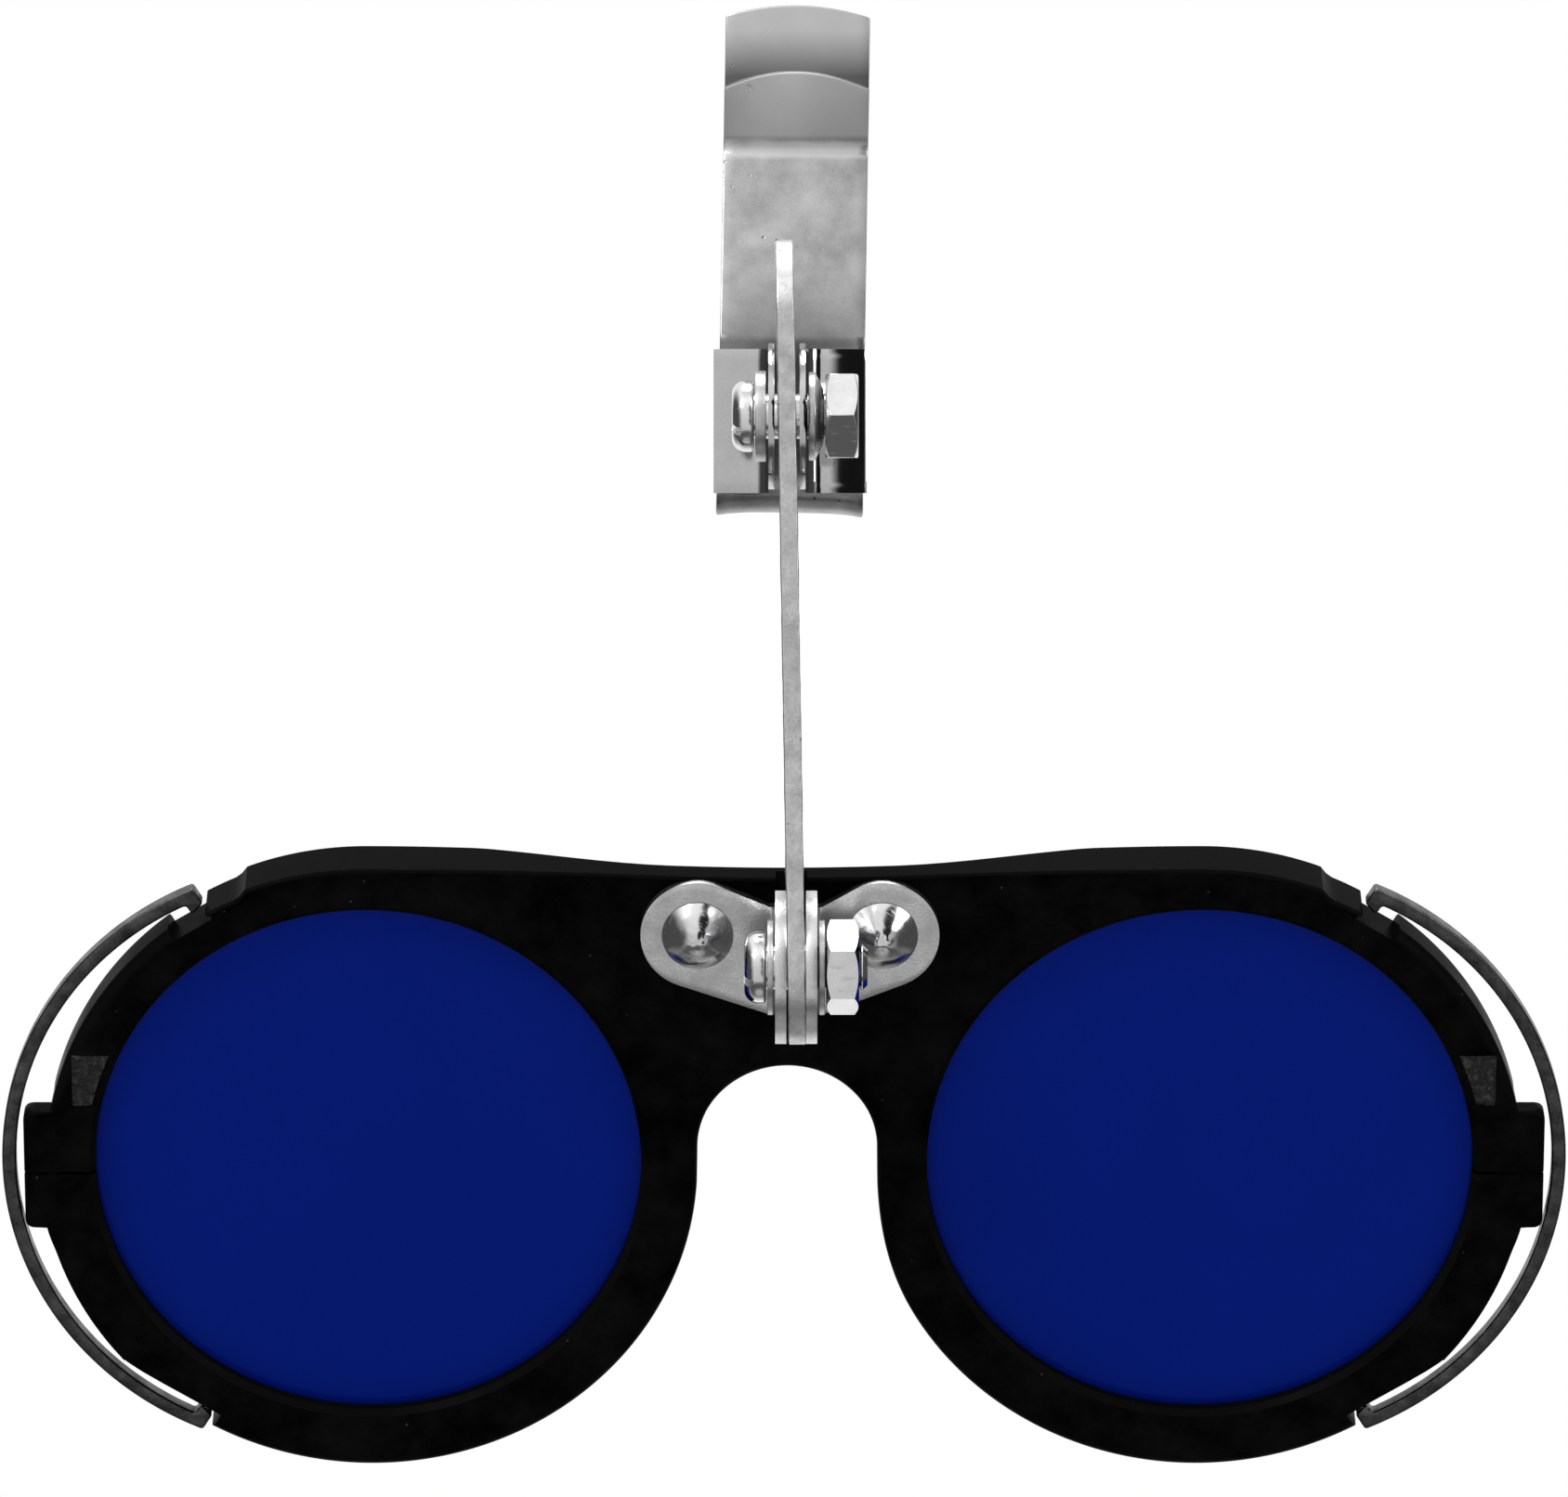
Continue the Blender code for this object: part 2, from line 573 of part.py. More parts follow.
# ---------------------------------------------------------------- lower bracket and pivot

def lower_bracket(side, sign, parent, material):
    """A folded plate: a round lobe riveted to the frame, and a round-ended ear beside the arm."""
    ear_x = sign * (LOWER_EAR_GAP + LOWER_SHEET) / 2
    face_y = LOWER_STANDOFF - FIXED_GAP - LOWER_SHEET / 2
    lobe_x = RIVET_SHIFT + sign * RIVET_X
    rows = []
    for i in range(8):
        angle = math.radians(84.0) * (1 - i / 7)
        half = LOBE_R * math.cos(angle)
        rows.append((lobe_x + sign * LOBE_R * math.sin(angle), face_y, -half, half))
    for i in range(7):
        angle = i * math.pi / 12
        x = ear_x + sign * LOWER_FOLD * (1 - math.sin(angle))
        rows.append((x, face_y - LOWER_FOLD * (1 - math.cos(angle)), NECK_BOTTOM, NECK_TOP))
    for i in range(11):
        angle = math.radians(-30.0 + 114.0 * i / 10)
        half = LOWER_EAR_R * math.cos(angle)
        rows.append((ear_x, -LOWER_EAR_R * math.sin(angle), -half, half))
    name = "lower_bracket_" + side
    piece = add_object(name, sheet_mesh(name, rows, lambda x, y, z: (x, y, z)), PARTS, material, parent)
    thicken(piece, LOWER_SHEET)
    cut(piece, cylinder_cutter("lower_hole_" + side, HOLE_R, 4 * MM, parent, (ear_x, 0, 0), ALONG_X))
    lobe_at = (lobe_x, face_y, 0)
    cut(piece, cylinder_cutter("lobe_hole_" + side, RIVET_HOLE_R, 4 * MM, parent, lobe_at, FACING))


def rivet(side, sign, parent, steel, washer_steel):
    """A domed rivet from the bracket through the frame, closed over a washer on the back."""
    front = LOWER_STANDOFF - 2 * FIXED_GAP - LOWER_SHEET
    washer_back = WEB_BACK + FIXED_GAP + RIVET_WASHER_THICK
    tail_top = front - washer_back - FIXED_GAP
    profile = [
        (DOME_R * math.sin(a), DOME_HEIGHT * math.cos(a))
        for a in (i * math.pi / 14 for i in range(8))
    ]
    profile += [
        (RIVET_R, 0.0),
        (RIVET_R, tail_top),
        (TAIL_R, tail_top - TAIL_LENGTH / 6),
        (TAIL_R - 0.5 * MM, tail_top - TAIL_LENGTH * 0.9),
        (0.0, tail_top - TAIL_LENGTH),
    ]
    x = RIVET_SHIFT + sign * RIVET_X
    turned("rivet_" + side, profile, 28, PARTS, steel, parent, (x, front, 0.0), FACING)
    ring = [
        (RIVET_HOLE_R, RIVET_WASHER_THICK),
        (RIVET_WASHER_R, RIVET_WASHER_THICK),
        (RIVET_WASHER_R, 0.0),
        (RIVET_HOLE_R, 0.0),
    ]
    turned("rivet_washer_" + side, ring, 28, PARTS, washer_steel, parent, (x, washer_back, 0.0), FACING)


def lower_pivot(parent, zinc, bright):
    ear_outer = LOWER_EAR_GAP / 2 + LOWER_SHEET
    left_washer = -ear_outer - FIXED_GAP - LOWER_WASHER_THICK
    right_washer = ear_outer + FIXED_GAP
    nut_at = right_washer + LOWER_WASHER_THICK + FIXED_GAP
    washer("lower_washer_left", LOWER_WASHER_R, LOWER_WASHER_THICK, left_washer, parent, zinc)
    washer("lower_washer_right", LOWER_WASHER_R, LOWER_WASHER_THICK, right_washer, parent, zinc)
    pan_screw("lower_screw", left_washer - FIXED_GAP, nut_at + NUT_THICK + BOLT_END, parent, bright)
    hex_nut("lower_nut", nut_at, NUT_TURN["lower"], parent, bright)


# ---------------------------------------------------------------- bow springs

def bow_outline():
    """The bow spring seen along the lens axis, outward at +X, its ends turned in to the notches."""
    hook = Vector((HOOK_R * math.cos(HOOK_ANGLE), HOOK_R * math.sin(HOOK_ANGLE)))
    rise = BOW_REACH - hook.x
    radius = (hook.y ** 2 + rise ** 2) / (2 * rise)
    centre_x = BOW_REACH - radius
    sweep = math.atan2(hook.y, hook.x - centre_x)
    half = BOW_THICK / 2
    outer_sweep = sweep + half / radius
    inner_sweep = sweep - half / radius
    outer = arc((centre_x, 0.0), radius + half, -outer_sweep, outer_sweep, 40)
    inner = arc((centre_x, 0.0), radius - half, inner_sweep, -inner_sweep, 38)
    inward = Vector((-math.cos(HOOK_ANGLE), -math.sin(HOOK_ANGLE)))
    tip_outer = Vector(outer[-1]) + inward * (HOOK_DEPTH + half)
    tip_inner = Vector(inner[0]) + inward * HOOK_DEPTH
    flip = Vector((1.0, -1.0))
    upper_end = [tuple(tip_outer), tuple(tip_inner)]
    lower_end = [tuple(tip_inner * flip), tuple(tip_outer * flip)]
    return outer + upper_end + inner + lower_end


def bow_spring(side, sign, tilt_empty, material):
    """One bow spring; its empty is on the upper hook, where it turns when it is unhooked below."""
    outline = [(sign * x, y) for x, y in bow_outline()]
    hook = Vector((sign * math.cos(HOOK_ANGLE), 0.0, math.sin(HOOK_ANGLE))) * HOOK_PIVOT_R
    depth = LOWER_STANDOFF + FRAME_THICK / 2
    rim_middle = Vector((FRAME_SHIFT + sign * LENS_X, depth, RIM_Z - LENS_DROP))
    empty = axis_empty("spring_axis_" + side, rim_middle + hook)
    empty.parent = tilt_empty
    mesh = plate_mesh("bow_spring_" + side, [outline], BOW_WIDTH)
    add_object("bow_spring_" + side, mesh, PARTS, material, empty, -hook, FACING)


# ---------------------------------------------------------------- assembly

clear_scene()
PARTS = new_collection("clip_on_viewing_glasses")
CUTTERS = new_collection("cutters")

SPRING_STEEL = make_material("spring_steel", (0.42, 0.42, 0.41), 0.34, 1.0)
MIRROR_NICKEL = make_material("mirror_nickel", (0.66, 0.66, 0.65), 0.12, 1.0)
GRAIN_NICKEL = make_material("grain_nickel", (0.60, 0.60, 0.58), 0.38, 1.0)
ZINC = make_material("zinc_plate", (0.50, 0.50, 0.49), 0.30, 1.0)
BRIGHT_STEEL = make_material("bright_steel", (0.72, 0.72, 0.71), 0.16, 1.0)
ARM_STEEL = make_material("arm_steel", (0.46, 0.46, 0.44), 0.42, 1.0)
BOW_STEEL = make_material("bow_steel", (0.30, 0.30, 0.30), 0.35, 1.0)
BLACK = make_material("black_moulding", (0.006, 0.006, 0.007), 0.22, 0.0)
COBALT = make_material("cobalt_glass", (0.001, 0.009, 0.15), 0.05, 0.0)

jaw_axis = axis_empty("jaw_axis", (0.0, 0.0, -STRIP_THICK / 2))
swing_axis = axis_empty("swing_axis", UPPER_PIVOT)
tilt_axis = axis_empty("tilt_axis", LOWER_PIVOT, (TILT, 0.0, 0.0))
arm_foot = axis_empty("arm_foot", LOWER_PIVOT)

clip_front_leaf(SPRING_STEEL)
clip_rear_leaf(SPRING_STEEL, jaw_axis)
upper_pivot(swing_axis, ZINC, BRIGHT_STEEL)
arm(arm_foot, ARM_STEEL)
lens_frame(tilt_axis, arm_foot, BLACK)
lower_pivot(tilt_axis, ZINC, BRIGHT_STEEL)
for side_name, side_sign in SIDES.items():
    upper_bracket(side_name, side_sign, MIRROR_NICKEL)
    lower_bracket(side_name, side_sign, tilt_axis, GRAIN_NICKEL)
    rivet(side_name, side_sign, tilt_axis, BRIGHT_STEEL, ZINC)
    lens(side_name, side_sign, tilt_axis, COBALT)
    bow_spring(side_name, side_sign, tilt_axis, BOW_STEEL)
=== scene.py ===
"""Clip-on viewing glasses: the looks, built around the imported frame.

Axes: +X to the right, +Y away from the front, +Z up.  Lengths are in metres.
"""

import json
import math

import bmesh
import bpy
from mathutils import Matrix, Vector, noise


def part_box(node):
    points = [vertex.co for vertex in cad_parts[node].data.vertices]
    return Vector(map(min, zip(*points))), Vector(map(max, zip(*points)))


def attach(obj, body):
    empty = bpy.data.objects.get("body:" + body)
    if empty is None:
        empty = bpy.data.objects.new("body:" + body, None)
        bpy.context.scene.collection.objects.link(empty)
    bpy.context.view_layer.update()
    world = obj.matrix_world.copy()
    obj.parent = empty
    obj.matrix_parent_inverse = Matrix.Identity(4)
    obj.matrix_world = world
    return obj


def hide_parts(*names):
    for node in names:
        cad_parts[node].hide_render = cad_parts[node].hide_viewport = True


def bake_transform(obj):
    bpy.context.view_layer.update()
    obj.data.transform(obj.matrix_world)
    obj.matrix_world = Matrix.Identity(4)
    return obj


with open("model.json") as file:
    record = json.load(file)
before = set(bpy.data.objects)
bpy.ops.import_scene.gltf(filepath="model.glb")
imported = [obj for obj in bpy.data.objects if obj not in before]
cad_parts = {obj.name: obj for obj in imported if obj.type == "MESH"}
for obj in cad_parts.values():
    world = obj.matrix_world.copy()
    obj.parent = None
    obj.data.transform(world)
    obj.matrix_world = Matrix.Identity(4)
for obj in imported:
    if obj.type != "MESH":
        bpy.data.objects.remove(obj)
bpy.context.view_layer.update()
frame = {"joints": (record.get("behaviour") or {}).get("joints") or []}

MM = 0.001

# ---- places read from the frame ----
JOINTS = {joint["name"]: joint for joint in frame["joints"]}
UPPER_PIVOT = Vector(JOINTS["clip_swing"]["pos_m"])
LOWER_PIVOT = Vector(JOINTS["lens_flip"]["pos_m"])
ARM_DOWN = Vector(JOINTS["arm_slide"]["axis"])
LENS_AXIS = Vector(JOINTS["bow_release_left"]["axis"])
TILT = math.atan2(LENS_AXIS.z, LENS_AXIS.y)          # top of the frame leans to the front
CARRIER = Matrix.Translation(LOWER_PIVOT) @ Matrix.Rotation(TILT, 4, "X")
ARM_LEAN = math.atan2(ARM_DOWN.x, -ARM_DOWN.z)
PIVOT_SPACING = (LOWER_PIVOT - UPPER_PIVOT).length
SIDES = {"left": -1, "right": 1}


def at(x, y, z):
    return Matrix.Translation((x, y, z))


def middle(node):
    low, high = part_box(node)
    return (low + high) / 2


LENS_CENTRES = {side: CARRIER.inverted() @ middle("lens_" + side) for side in SIDES}
MID_X = (LENS_CENTRES["left"].x + LENS_CENTRES["right"].x) / 2       # the frame's middle, from the lower pivot
LENS_X = (LENS_CENTRES["right"].x - LENS_CENTRES["left"].x) / 2
LENS_Z = LENS_CENTRES["left"].z
RIVET_X = {side: middle("rivet_" + side).x - LOWER_PIVOT.x for side in SIDES}

# ---- the part's sizes ----
STRIP_WIDTH = 12.3 * MM
STRIP_THICK = 0.6 * MM
THROAT = 5.4 * MM
PINCH = 0.9 * MM
REAR_HEIGHT = 41.75 * MM
LIP_ARCH = 1.56 * MM          # of the front leaf's lip
REAR_ARCH = 0.95 * MM
CLIP_LEAN = math.radians(1.0)
ARM_THICK = 1.5 * MM
ARM_WIDTH = 12.7 * MM
ARM_TAIL = 14.7 * MM
ARM_TOE = 6.45 * MM
SLOT_TRAVEL = 10.0 * MM
SCREW_R = 1.9 * MM
HOLE_R = 2.1 * MM
HEAD_R = 3.0 * MM
HEAD_HEIGHT = 1.85 * MM
NUT_FLATS = 7.0 * MM
NUT_THICK = 2.75 * MM
UPPER_EAR_GAP = 2.1 * MM
LOWER_EAR_GAP = 1.64 * MM
UPPER_SHEET = 0.5 * MM
LOWER_SHEET = 0.93 * MM
UPPER_FOLD = 1.6 * MM
LOWER_FOLD = 0.9 * MM
UPPER_EAR_R = 6.1 * MM
LOWER_EAR_R = 6.4 * MM
UPPER_FLANGE = {"left": 6.75 * MM, "right": 6.15 * MM}       # its free edge, from the clip's middle
UPPER_FLANGE_BOW = {"left": 0.10 * MM, "right": 0.42 * MM}   # how far that edge bows back
LOBE_R = 4.8 * MM
NECK_TOP = 2.6 * MM
NECK_BOTTOM = -7.2 * MM
LOWER_WASHER_R = 4.0 * MM
LOWER_NUT_TURN = math.radians(17.8)
RIVET_HOLE_R = 1.7 * MM
FRONT = 7.8 * MM              # front face of the frame, from the lower pivot
THICK = 4.6 * MM
RIM_R = 27.9 * MM
RIM_Z = -0.5 * MM             # middle of the rim's outer edge, from the lens centre
SEAT_R = 27.35 * MM           # upper outer stretch of the rim
OPENING_R = 23.1 * MM
LENS_R = 24.9 * MM
LENS_THICK = 2.0 * MM
FRONT_LIP = 1.5 * MM
WEB_THICK = 2.1 * MM          # the web between the rims
FRAME_PLACE = CARRIER @ at(MID_X, 0.0, LENS_Z)     # middle plane, height of the lens centres

# turns a piece's own Z to +X, to -X, or to the front
ALONG_X = Matrix.Rotation(math.pi / 2, 4, "Y")
AGAINST_X = Matrix.Rotation(-math.pi / 2, 4, "Y")
FACING = Matrix.Rotation(math.pi / 2, 4, "X")


# ---- materials ----

def node(tree, kind, inputs=None, **settings):
    made = tree.nodes.new(kind)
    for key, value in settings.items():
        setattr(made, key, value)
    for key, value in (inputs or {}).items():
        if isinstance(value, bpy.types.NodeSocket):
            tree.links.new(value, made.inputs[key])
        else:
            made.inputs[key].default_value = value
    return made


def noise_of(tree, coords, size, detail=3.0, rough=0.55, distortion=0.0):
    """Noise from 0 to 1 whose features are about size metres across."""
    inputs = {"Vector": coords, "Scale": 1 / size, "Detail": detail, "Roughness": rough,
              "Distortion": distortion}
    return node(tree, "ShaderNodeTexNoise", inputs).outputs["Fac"]


def spots_of(tree, coords, spacing):
    """Distance to the nearest of scattered spots, in units of their spacing."""
    return node(tree, "ShaderNodeTexVoronoi", {"Vector": coords, "Scale": 1 / spacing}).outputs["Distance"]


def remap(tree, value, low, high, to_low=0.0, to_high=1.0):
    inputs = {"Value": value, "From Min": low, "From Max": high, "To Min": to_low, "To Max": to_high}
    return node(tree, "ShaderNodeMapRange", inputs).outputs["Result"]


def maths(tree, operation, first, second):
    return node(tree, "ShaderNodeMath", {0: first, 1: second}, operation=operation).outputs[0]


def product(tree, first, *others):
    for other in others:
        first = maths(tree, "MULTIPLY", first, other)
    return first


def absolute(tree, value):
    return maths(tree, "ABSOLUTE", value, 0.0)


def mix(tree, factor, first, second):
    made = node(tree, "ShaderNodeMix", {0: factor}, data_type="RGBA")
    for index, colour in ((6, first), (7, second)):
        if isinstance(colour, bpy.types.NodeSocket):
            tree.links.new(colour, made.inputs[index])
        else:
            made.inputs[index].default_value = (*colour, 1.0)
    return made.outputs[2]


def blank_material(name, metallic, **sockets):
    material = bpy.data.materials.new(name)
    material.use_nodes = True
    tree = material.node_tree
    shader = tree.nodes["Principled BSDF"]
    shader.inputs["Metallic"].default_value = metallic
    for key, value in sockets.items():
        shader.inputs[key.replace("_", " ")].default_value = value
    coords = tree.nodes.new("ShaderNodeTexCoord").outputs["Object"]
    return material, tree, shader, coords


def facing_parts(tree):
    """The surface's direction, in the piece's own axes, as X, Y and Z."""
    normal = tree.nodes.new("ShaderNodeTexCoord").outputs["Normal"]
    return node(tree, "ShaderNodeSeparateXYZ", {"Vector": normal}).outputs


def surface(tree, shader, colour, roughness, heights):
    """Joins colour, roughness and a chain of bumps, each (height, depth in metres, strength), to the shader."""
    tree.links.new(colour, shader.inputs["Base Color"])
    tree.links.new(roughness, shader.inputs["Roughness"])
    normal = None
    for height, depth, strength in heights:
        inputs = {"Height": height, "Distance": depth, "Strength": strength}
        if normal is not None:
            inputs["Normal"] = normal
        normal = node(tree, "ShaderNodeBump", inputs).outputs["Normal"]
    tree.links.new(normal, shader.inputs["Normal"])


def clip_painted_light_and_edges(tree, coords, colour):
    """The clip's painted light: painted highlights on the crease, lip and rear top, painted shade above the
    bracket, a painted shadow behind the lip, and darker where it faces sideways or up.
    """
    place = node(tree, "ShaderNodeSeparateXYZ", {"Vector": coords}).outputs
    facing = facing_parts(tree)
    height = place["Z"]
    front = remap(tree, place["Y"], -1.0 * MM, -2.0 * MM)
    rear = remap(tree, place["Y"], 1.6 * MM, 2.2 * MM)
    middle = remap(tree, absolute(tree, place["X"]), 6.5 * MM, 1.0 * MM, 0.45, 0.85)
    # painted highlight along the crease
    off_crease = absolute(tree, maths(tree, "SUBTRACT", height, 30.3 * MM))
    crease = product(tree, remap(tree, off_crease, 0.9 * MM, 0.1 * MM), 0.75)
    # painted shade on the front leaf just above the bracket
    bracket_painted_shade = product(tree, remap(tree, height, 21.0 * MM, 12.5 * MM), middle,
                    remap(tree, height, 8.0 * MM, 12.0 * MM), front)
    not_rear = maths(tree, "SUBTRACT", 1.0, rear)
    # painted highlight on the front leaf's lip
    lip = product(tree, remap(tree, height, 31.0 * MM, 31.6 * MM, 0.0, 0.85), not_rear)
    # painted highlight on the rear leaf's top
    rear_top_painted_highlight = product(tree, rear, remap(tree, height, 34.0 * MM, 36.0 * MM, 0.0, 0.8))
    # painted shadow on the rear leaf just above the front leaf's lip
    shadow = product(tree, remap(tree, height, 40.6 * MM, 36.6 * MM, 0.0, 0.85),
                     remap(tree, height, 32.0 * MM, 35.0 * MM), remap(tree, facing["Y"], -0.4, -0.8), rear)
    edges = maths(tree, "MAXIMUM", remap(tree, absolute(tree, facing["X"]), 0.3, 0.7),
                  remap(tree, facing["Z"], 0.5, 0.75))
    layers = ((crease, 0.85), (bracket_painted_shade, 0.10), (lip, 0.86), (rear_top_painted_highlight, 0.80), (shadow, 0.05), (edges, 0.13))
    for mask, shade in layers:
        colour = mix(tree, mask, colour, (shade,) * 3)
    return colour


def metal(name, light, dark, rough, grain, grain_depth, cloud,
          pits=0.0, wave=0.0, scuffs=0.0, painted_light_layer=None):
    """A bare metal: cloudy tone, fine grain, and if wanted dark pits, a slow waviness, fine scuffs and a layer
    of painted light and shade.
    """
    material, tree, shader, coords = blank_material(name, 1.0)
    clouds = noise_of(tree, coords, cloud, 4.0)
    fine = noise_of(tree, coords, grain, 3.0, 0.6)
    tone = maths(tree, "ADD", product(tree, clouds, 0.65), product(tree, fine, 0.35))
    colour = mix(tree, remap(tree, tone, 0.35, 0.65), (dark,) * 3, (light,) * 3)
    roughness = remap(tree, tone, 0.3, 0.7, rough[1], rough[0])
    heights = [(fine, grain_depth, 0.6)]
    if wave:
        heights.append((noise_of(tree, coords, 3.5 * MM, 1.0), wave, 1.0))
    if pits:
        spots = spots_of(tree, coords, 1.1 * MM)
        where = noise_of(tree, coords, 6 * MM, 3.0)
        size = remap(tree, where, 0.47, 0.72, 0.0, 0.26)
        pit = remap(tree, maths(tree, "SUBTRACT", size, spots), 0.0, 0.05)
        colour = mix(tree, product(tree, pit, pits), colour, (dark * 0.22,) * 3)
        heights.append((maths(tree, "SUBTRACT", 1.0, pit), 0.02 * MM, 0.8))
    if scuffs:
        stretched = node(tree, "ShaderNodeMapping", {"Vector": coords, "Rotation": (0.3, 0.5, 0.7),
                                                     "Scale": (1.0, 14.0, 3.0)}).outputs["Vector"]
        lines = noise_of(tree, stretched, 1.6 * MM, 6.0, 0.7)
        scuff = remap(tree, lines, 0.56, 0.66)
        roughness = maths(tree, "ADD", roughness, product(tree, scuff, scuffs))
        heights.append((lines, 0.006 * MM, 0.5))
    # painted highlights and painted shade laid over the metal's colour
    if painted_light_layer:
        colour = painted_light_layer(tree, coords, colour)
    surface(tree, shader, colour, roughness, heights)
    return material


def black_moulding():
    """Glossy black plastic with a faint mottled bloom, a few moulding flecks, and painted light: faces not
    turned down are painted a little lighter.
    """
    material, tree, shader, coords = blank_material("black_moulding", 0.0, Specular_IOR_Level=0.004)
    clouds = noise_of(tree, coords, 4.5 * MM, 5.0, 0.65)
    fine = noise_of(tree, coords, 0.35 * MM, 3.0)
    fleck = remap(tree, spots_of(tree, coords, 2.3 * MM), 0.05, 0.02)
    tone = mix(tree, remap(tree, clouds, 0.35, 0.7), (0.0006, 0.0006, 0.0007), (0.0030, 0.0029, 0.0030))
    # painted light: faces that are not turned down get a lighter tone
    painted_light_facing_up = remap(tree, facing_parts(tree)["Z"], -0.33, -0.05)
    tone = mix(tree, painted_light_facing_up, tone, (0.0030, 0.0030, 0.0030))
    colour = mix(tree, fleck, tone, (0.03, 0.03, 0.03))
    heights = [(clouds, 0.05 * MM, 0.35), (fine, 0.006 * MM, 0.5)]
    surface(tree, shader, colour, remap(tree, clouds, 0.3, 0.7, 0.2, 0.36), heights)
    return material


def rough_moulding():
    """The sparkling rough floor of a grip pad."""
    material, tree, shader, coords = blank_material("rough_moulding", 0.0, Specular_IOR_Level=0.35)
    coarse = noise_of(tree, coords, 0.5 * MM, 4.0, 0.7)
    tone = mix(tree, remap(tree, coarse, 0.5, 0.75), (0.003, 0.003, 0.003), (0.035, 0.035, 0.035))
    surface(tree, shader, tone, remap(tree, coarse, 0.4, 0.7, 0.25, 0.55), [(coarse, 0.12 * MM, 0.9)])
    return material


def cobalt_glass():
    """Deep cobalt glass, nearly opaque, with the faintest streaks of the melt."""
    material, tree, shader, coords = blank_material("cobalt_glass", 0.0, Specular_IOR_Level=0.0,
                                                    Transmission_Weight=0.08, IOR=1.5)
    streaks = noise_of(tree, coords, 14 * MM, 2.0, 0.4, 0.8)
    tone = mix(tree, remap(tree, streaks, 0.3, 0.7), (0.0002, 0.0064, 0.116), (0.0003, 0.0067, 0.121))
    surface(tree, shader, tone, remap(tree, streaks, 0.3, 0.7, 0.05, 0.08), [(streaks, 0.01 * MM, 0.2)])
    return material


FINISHES = {
    "spring_steel": metal("spring_steel", 0.55, 0.30, (0.26, 0.38), 0.10 * MM, 0.004 * MM, 3 * MM, pits=0.8,
                          painted_light_layer=clip_painted_light_and_edges),
    "mirror_nickel": metal("mirror_nickel", 0.62, 0.52, (0.05, 0.10), 0.20 * MM, 0.0006 * MM, 4 * MM,
                           wave=0.012 * MM),
    "grain_nickel": metal("grain_nickel", 0.86, 0.62, (0.22, 0.36), 0.22 * MM, 0.02 * MM, 2.5 * MM),
    "zinc_plate": metal("zinc_plate", 0.70, 0.46, (0.22, 0.38), 0.15 * MM, 0.006 * MM, 1.6 * MM, scuffs=0.2),
    "bright_steel": metal("bright_steel", 0.88, 0.74, (0.08, 0.18), 0.12 * MM, 0.002 * MM, 2 * MM,
                          wave=0.008 * MM, scuffs=0.22),
    "arm_steel": metal("arm_steel", 0.84, 0.52, (0.30, 0.48), 0.28 * MM, 0.03 * MM, 1.4 * MM,
                       pits=0.8, scuffs=0.1),
    "bow_steel": metal("bow_steel", 0.13, 0.04, (0.25, 0.42), 0.20 * MM, 0.01 * MM, 1.5 * MM, scuffs=0.15),
    "black_moulding": black_moulding(),
    "cobalt_glass": cobalt_glass(),
}
ROUGH_BLACK = rough_moulding()


# ---- mesh helpers ----

def link_object(name, data):
    piece = bpy.data.objects.new(name, data)
    bpy.context.scene.collection.objects.link(piece)
    return piece


def from_bmesh(name, bm, matrix=None):
    """A mesh object from a bmesh, with the matrix put into its points."""
    if matrix is not None:
        bmesh.ops.transform(bm, matrix=matrix, verts=bm.verts)
    bmesh.ops.recalc_face_normals(bm, faces=bm.faces)
    mesh = bpy.data.meshes.new(name)
    bm.to_mesh(mesh)
    bm.free()
    return link_object(name, mesh)


def evaluated_mesh(piece):
    return bpy.data.meshes.new_from_object(piece.evaluated_get(bpy.context.evaluated_depsgraph_get()))


def settle(piece):
    """Makes the modifiers' result the piece's own mesh."""
    mesh = evaluated_mesh(piece)
    piece.modifiers.clear()
    piece.data = mesh
    return piece


def boolean(piece, tools, operation="DIFFERENCE"):
    for tool in tools:
        modifier = piece.modifiers.new("shape", "BOOLEAN")
        modifier.operation = operation
        modifier.object = tool
    settle(piece)
    for tool in tools:
        bpy.data.objects.remove(tool, do_unlink=True)
    return piece


def rounded(piece, width, segments=2, angle=40.0):
    bevel = piece.modifiers.new("edges", "BEVEL")
    bevel.width = width
    bevel.segments = segments
    bevel.limit_method = "ANGLE"
    bevel.angle_limit = math.radians(angle)
    bevel.use_clamp_overlap = True
    return settle(piece)


def thickened(piece, thickness):
    solid = piece.modifiers.new("thickness", "SOLIDIFY")
    solid.thickness = thickness
    solid.offset = 0.0
    solid.use_even_offset = True
    return settle(piece)


def roughen(piece, depth, size, where=None):
    """Moves the points by noise whose features are about size across."""
    mesh = piece.data
    normals = [vertex.normal.copy() for vertex in mesh.vertices]
    for vertex, normal in zip(mesh.vertices, normals):
        share = 1.0 if where is None else where(vertex.co)
        vertex.co += normal * (noise.noise(vertex.co / size) * depth * share)
    return piece


def dress(piece, body, slot_name, nodes, material=None, angle=32.0):
    """Gives a finished piece its material and shading, hides the nodes it stands for, and hangs it on its body.
    """
    piece.data.materials.clear()
    piece.data.materials.append(material or FINISHES[slot_name])
    piece.data.shade_smooth()
    piece.data.set_sharp_from_angle(angle=math.radians(angle))
    flat = piece.modifiers.new("flat_faces", "WEIGHTED_NORMAL")
    flat.keep_sharp = True
    settle(piece)
    if nodes:
        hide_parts(*nodes)
    if body:
        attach(piece, body)
    return piece


def arc(centre, radius, start, end, steps):
    """Points on an arc from start to end, in radians, both ends included."""
    angles = [start + (end - start) * i / steps for i in range(steps + 1)]
    return [(centre[0] + radius * math.cos(a), centre[1] + radius * math.sin(a)) for a in angles]


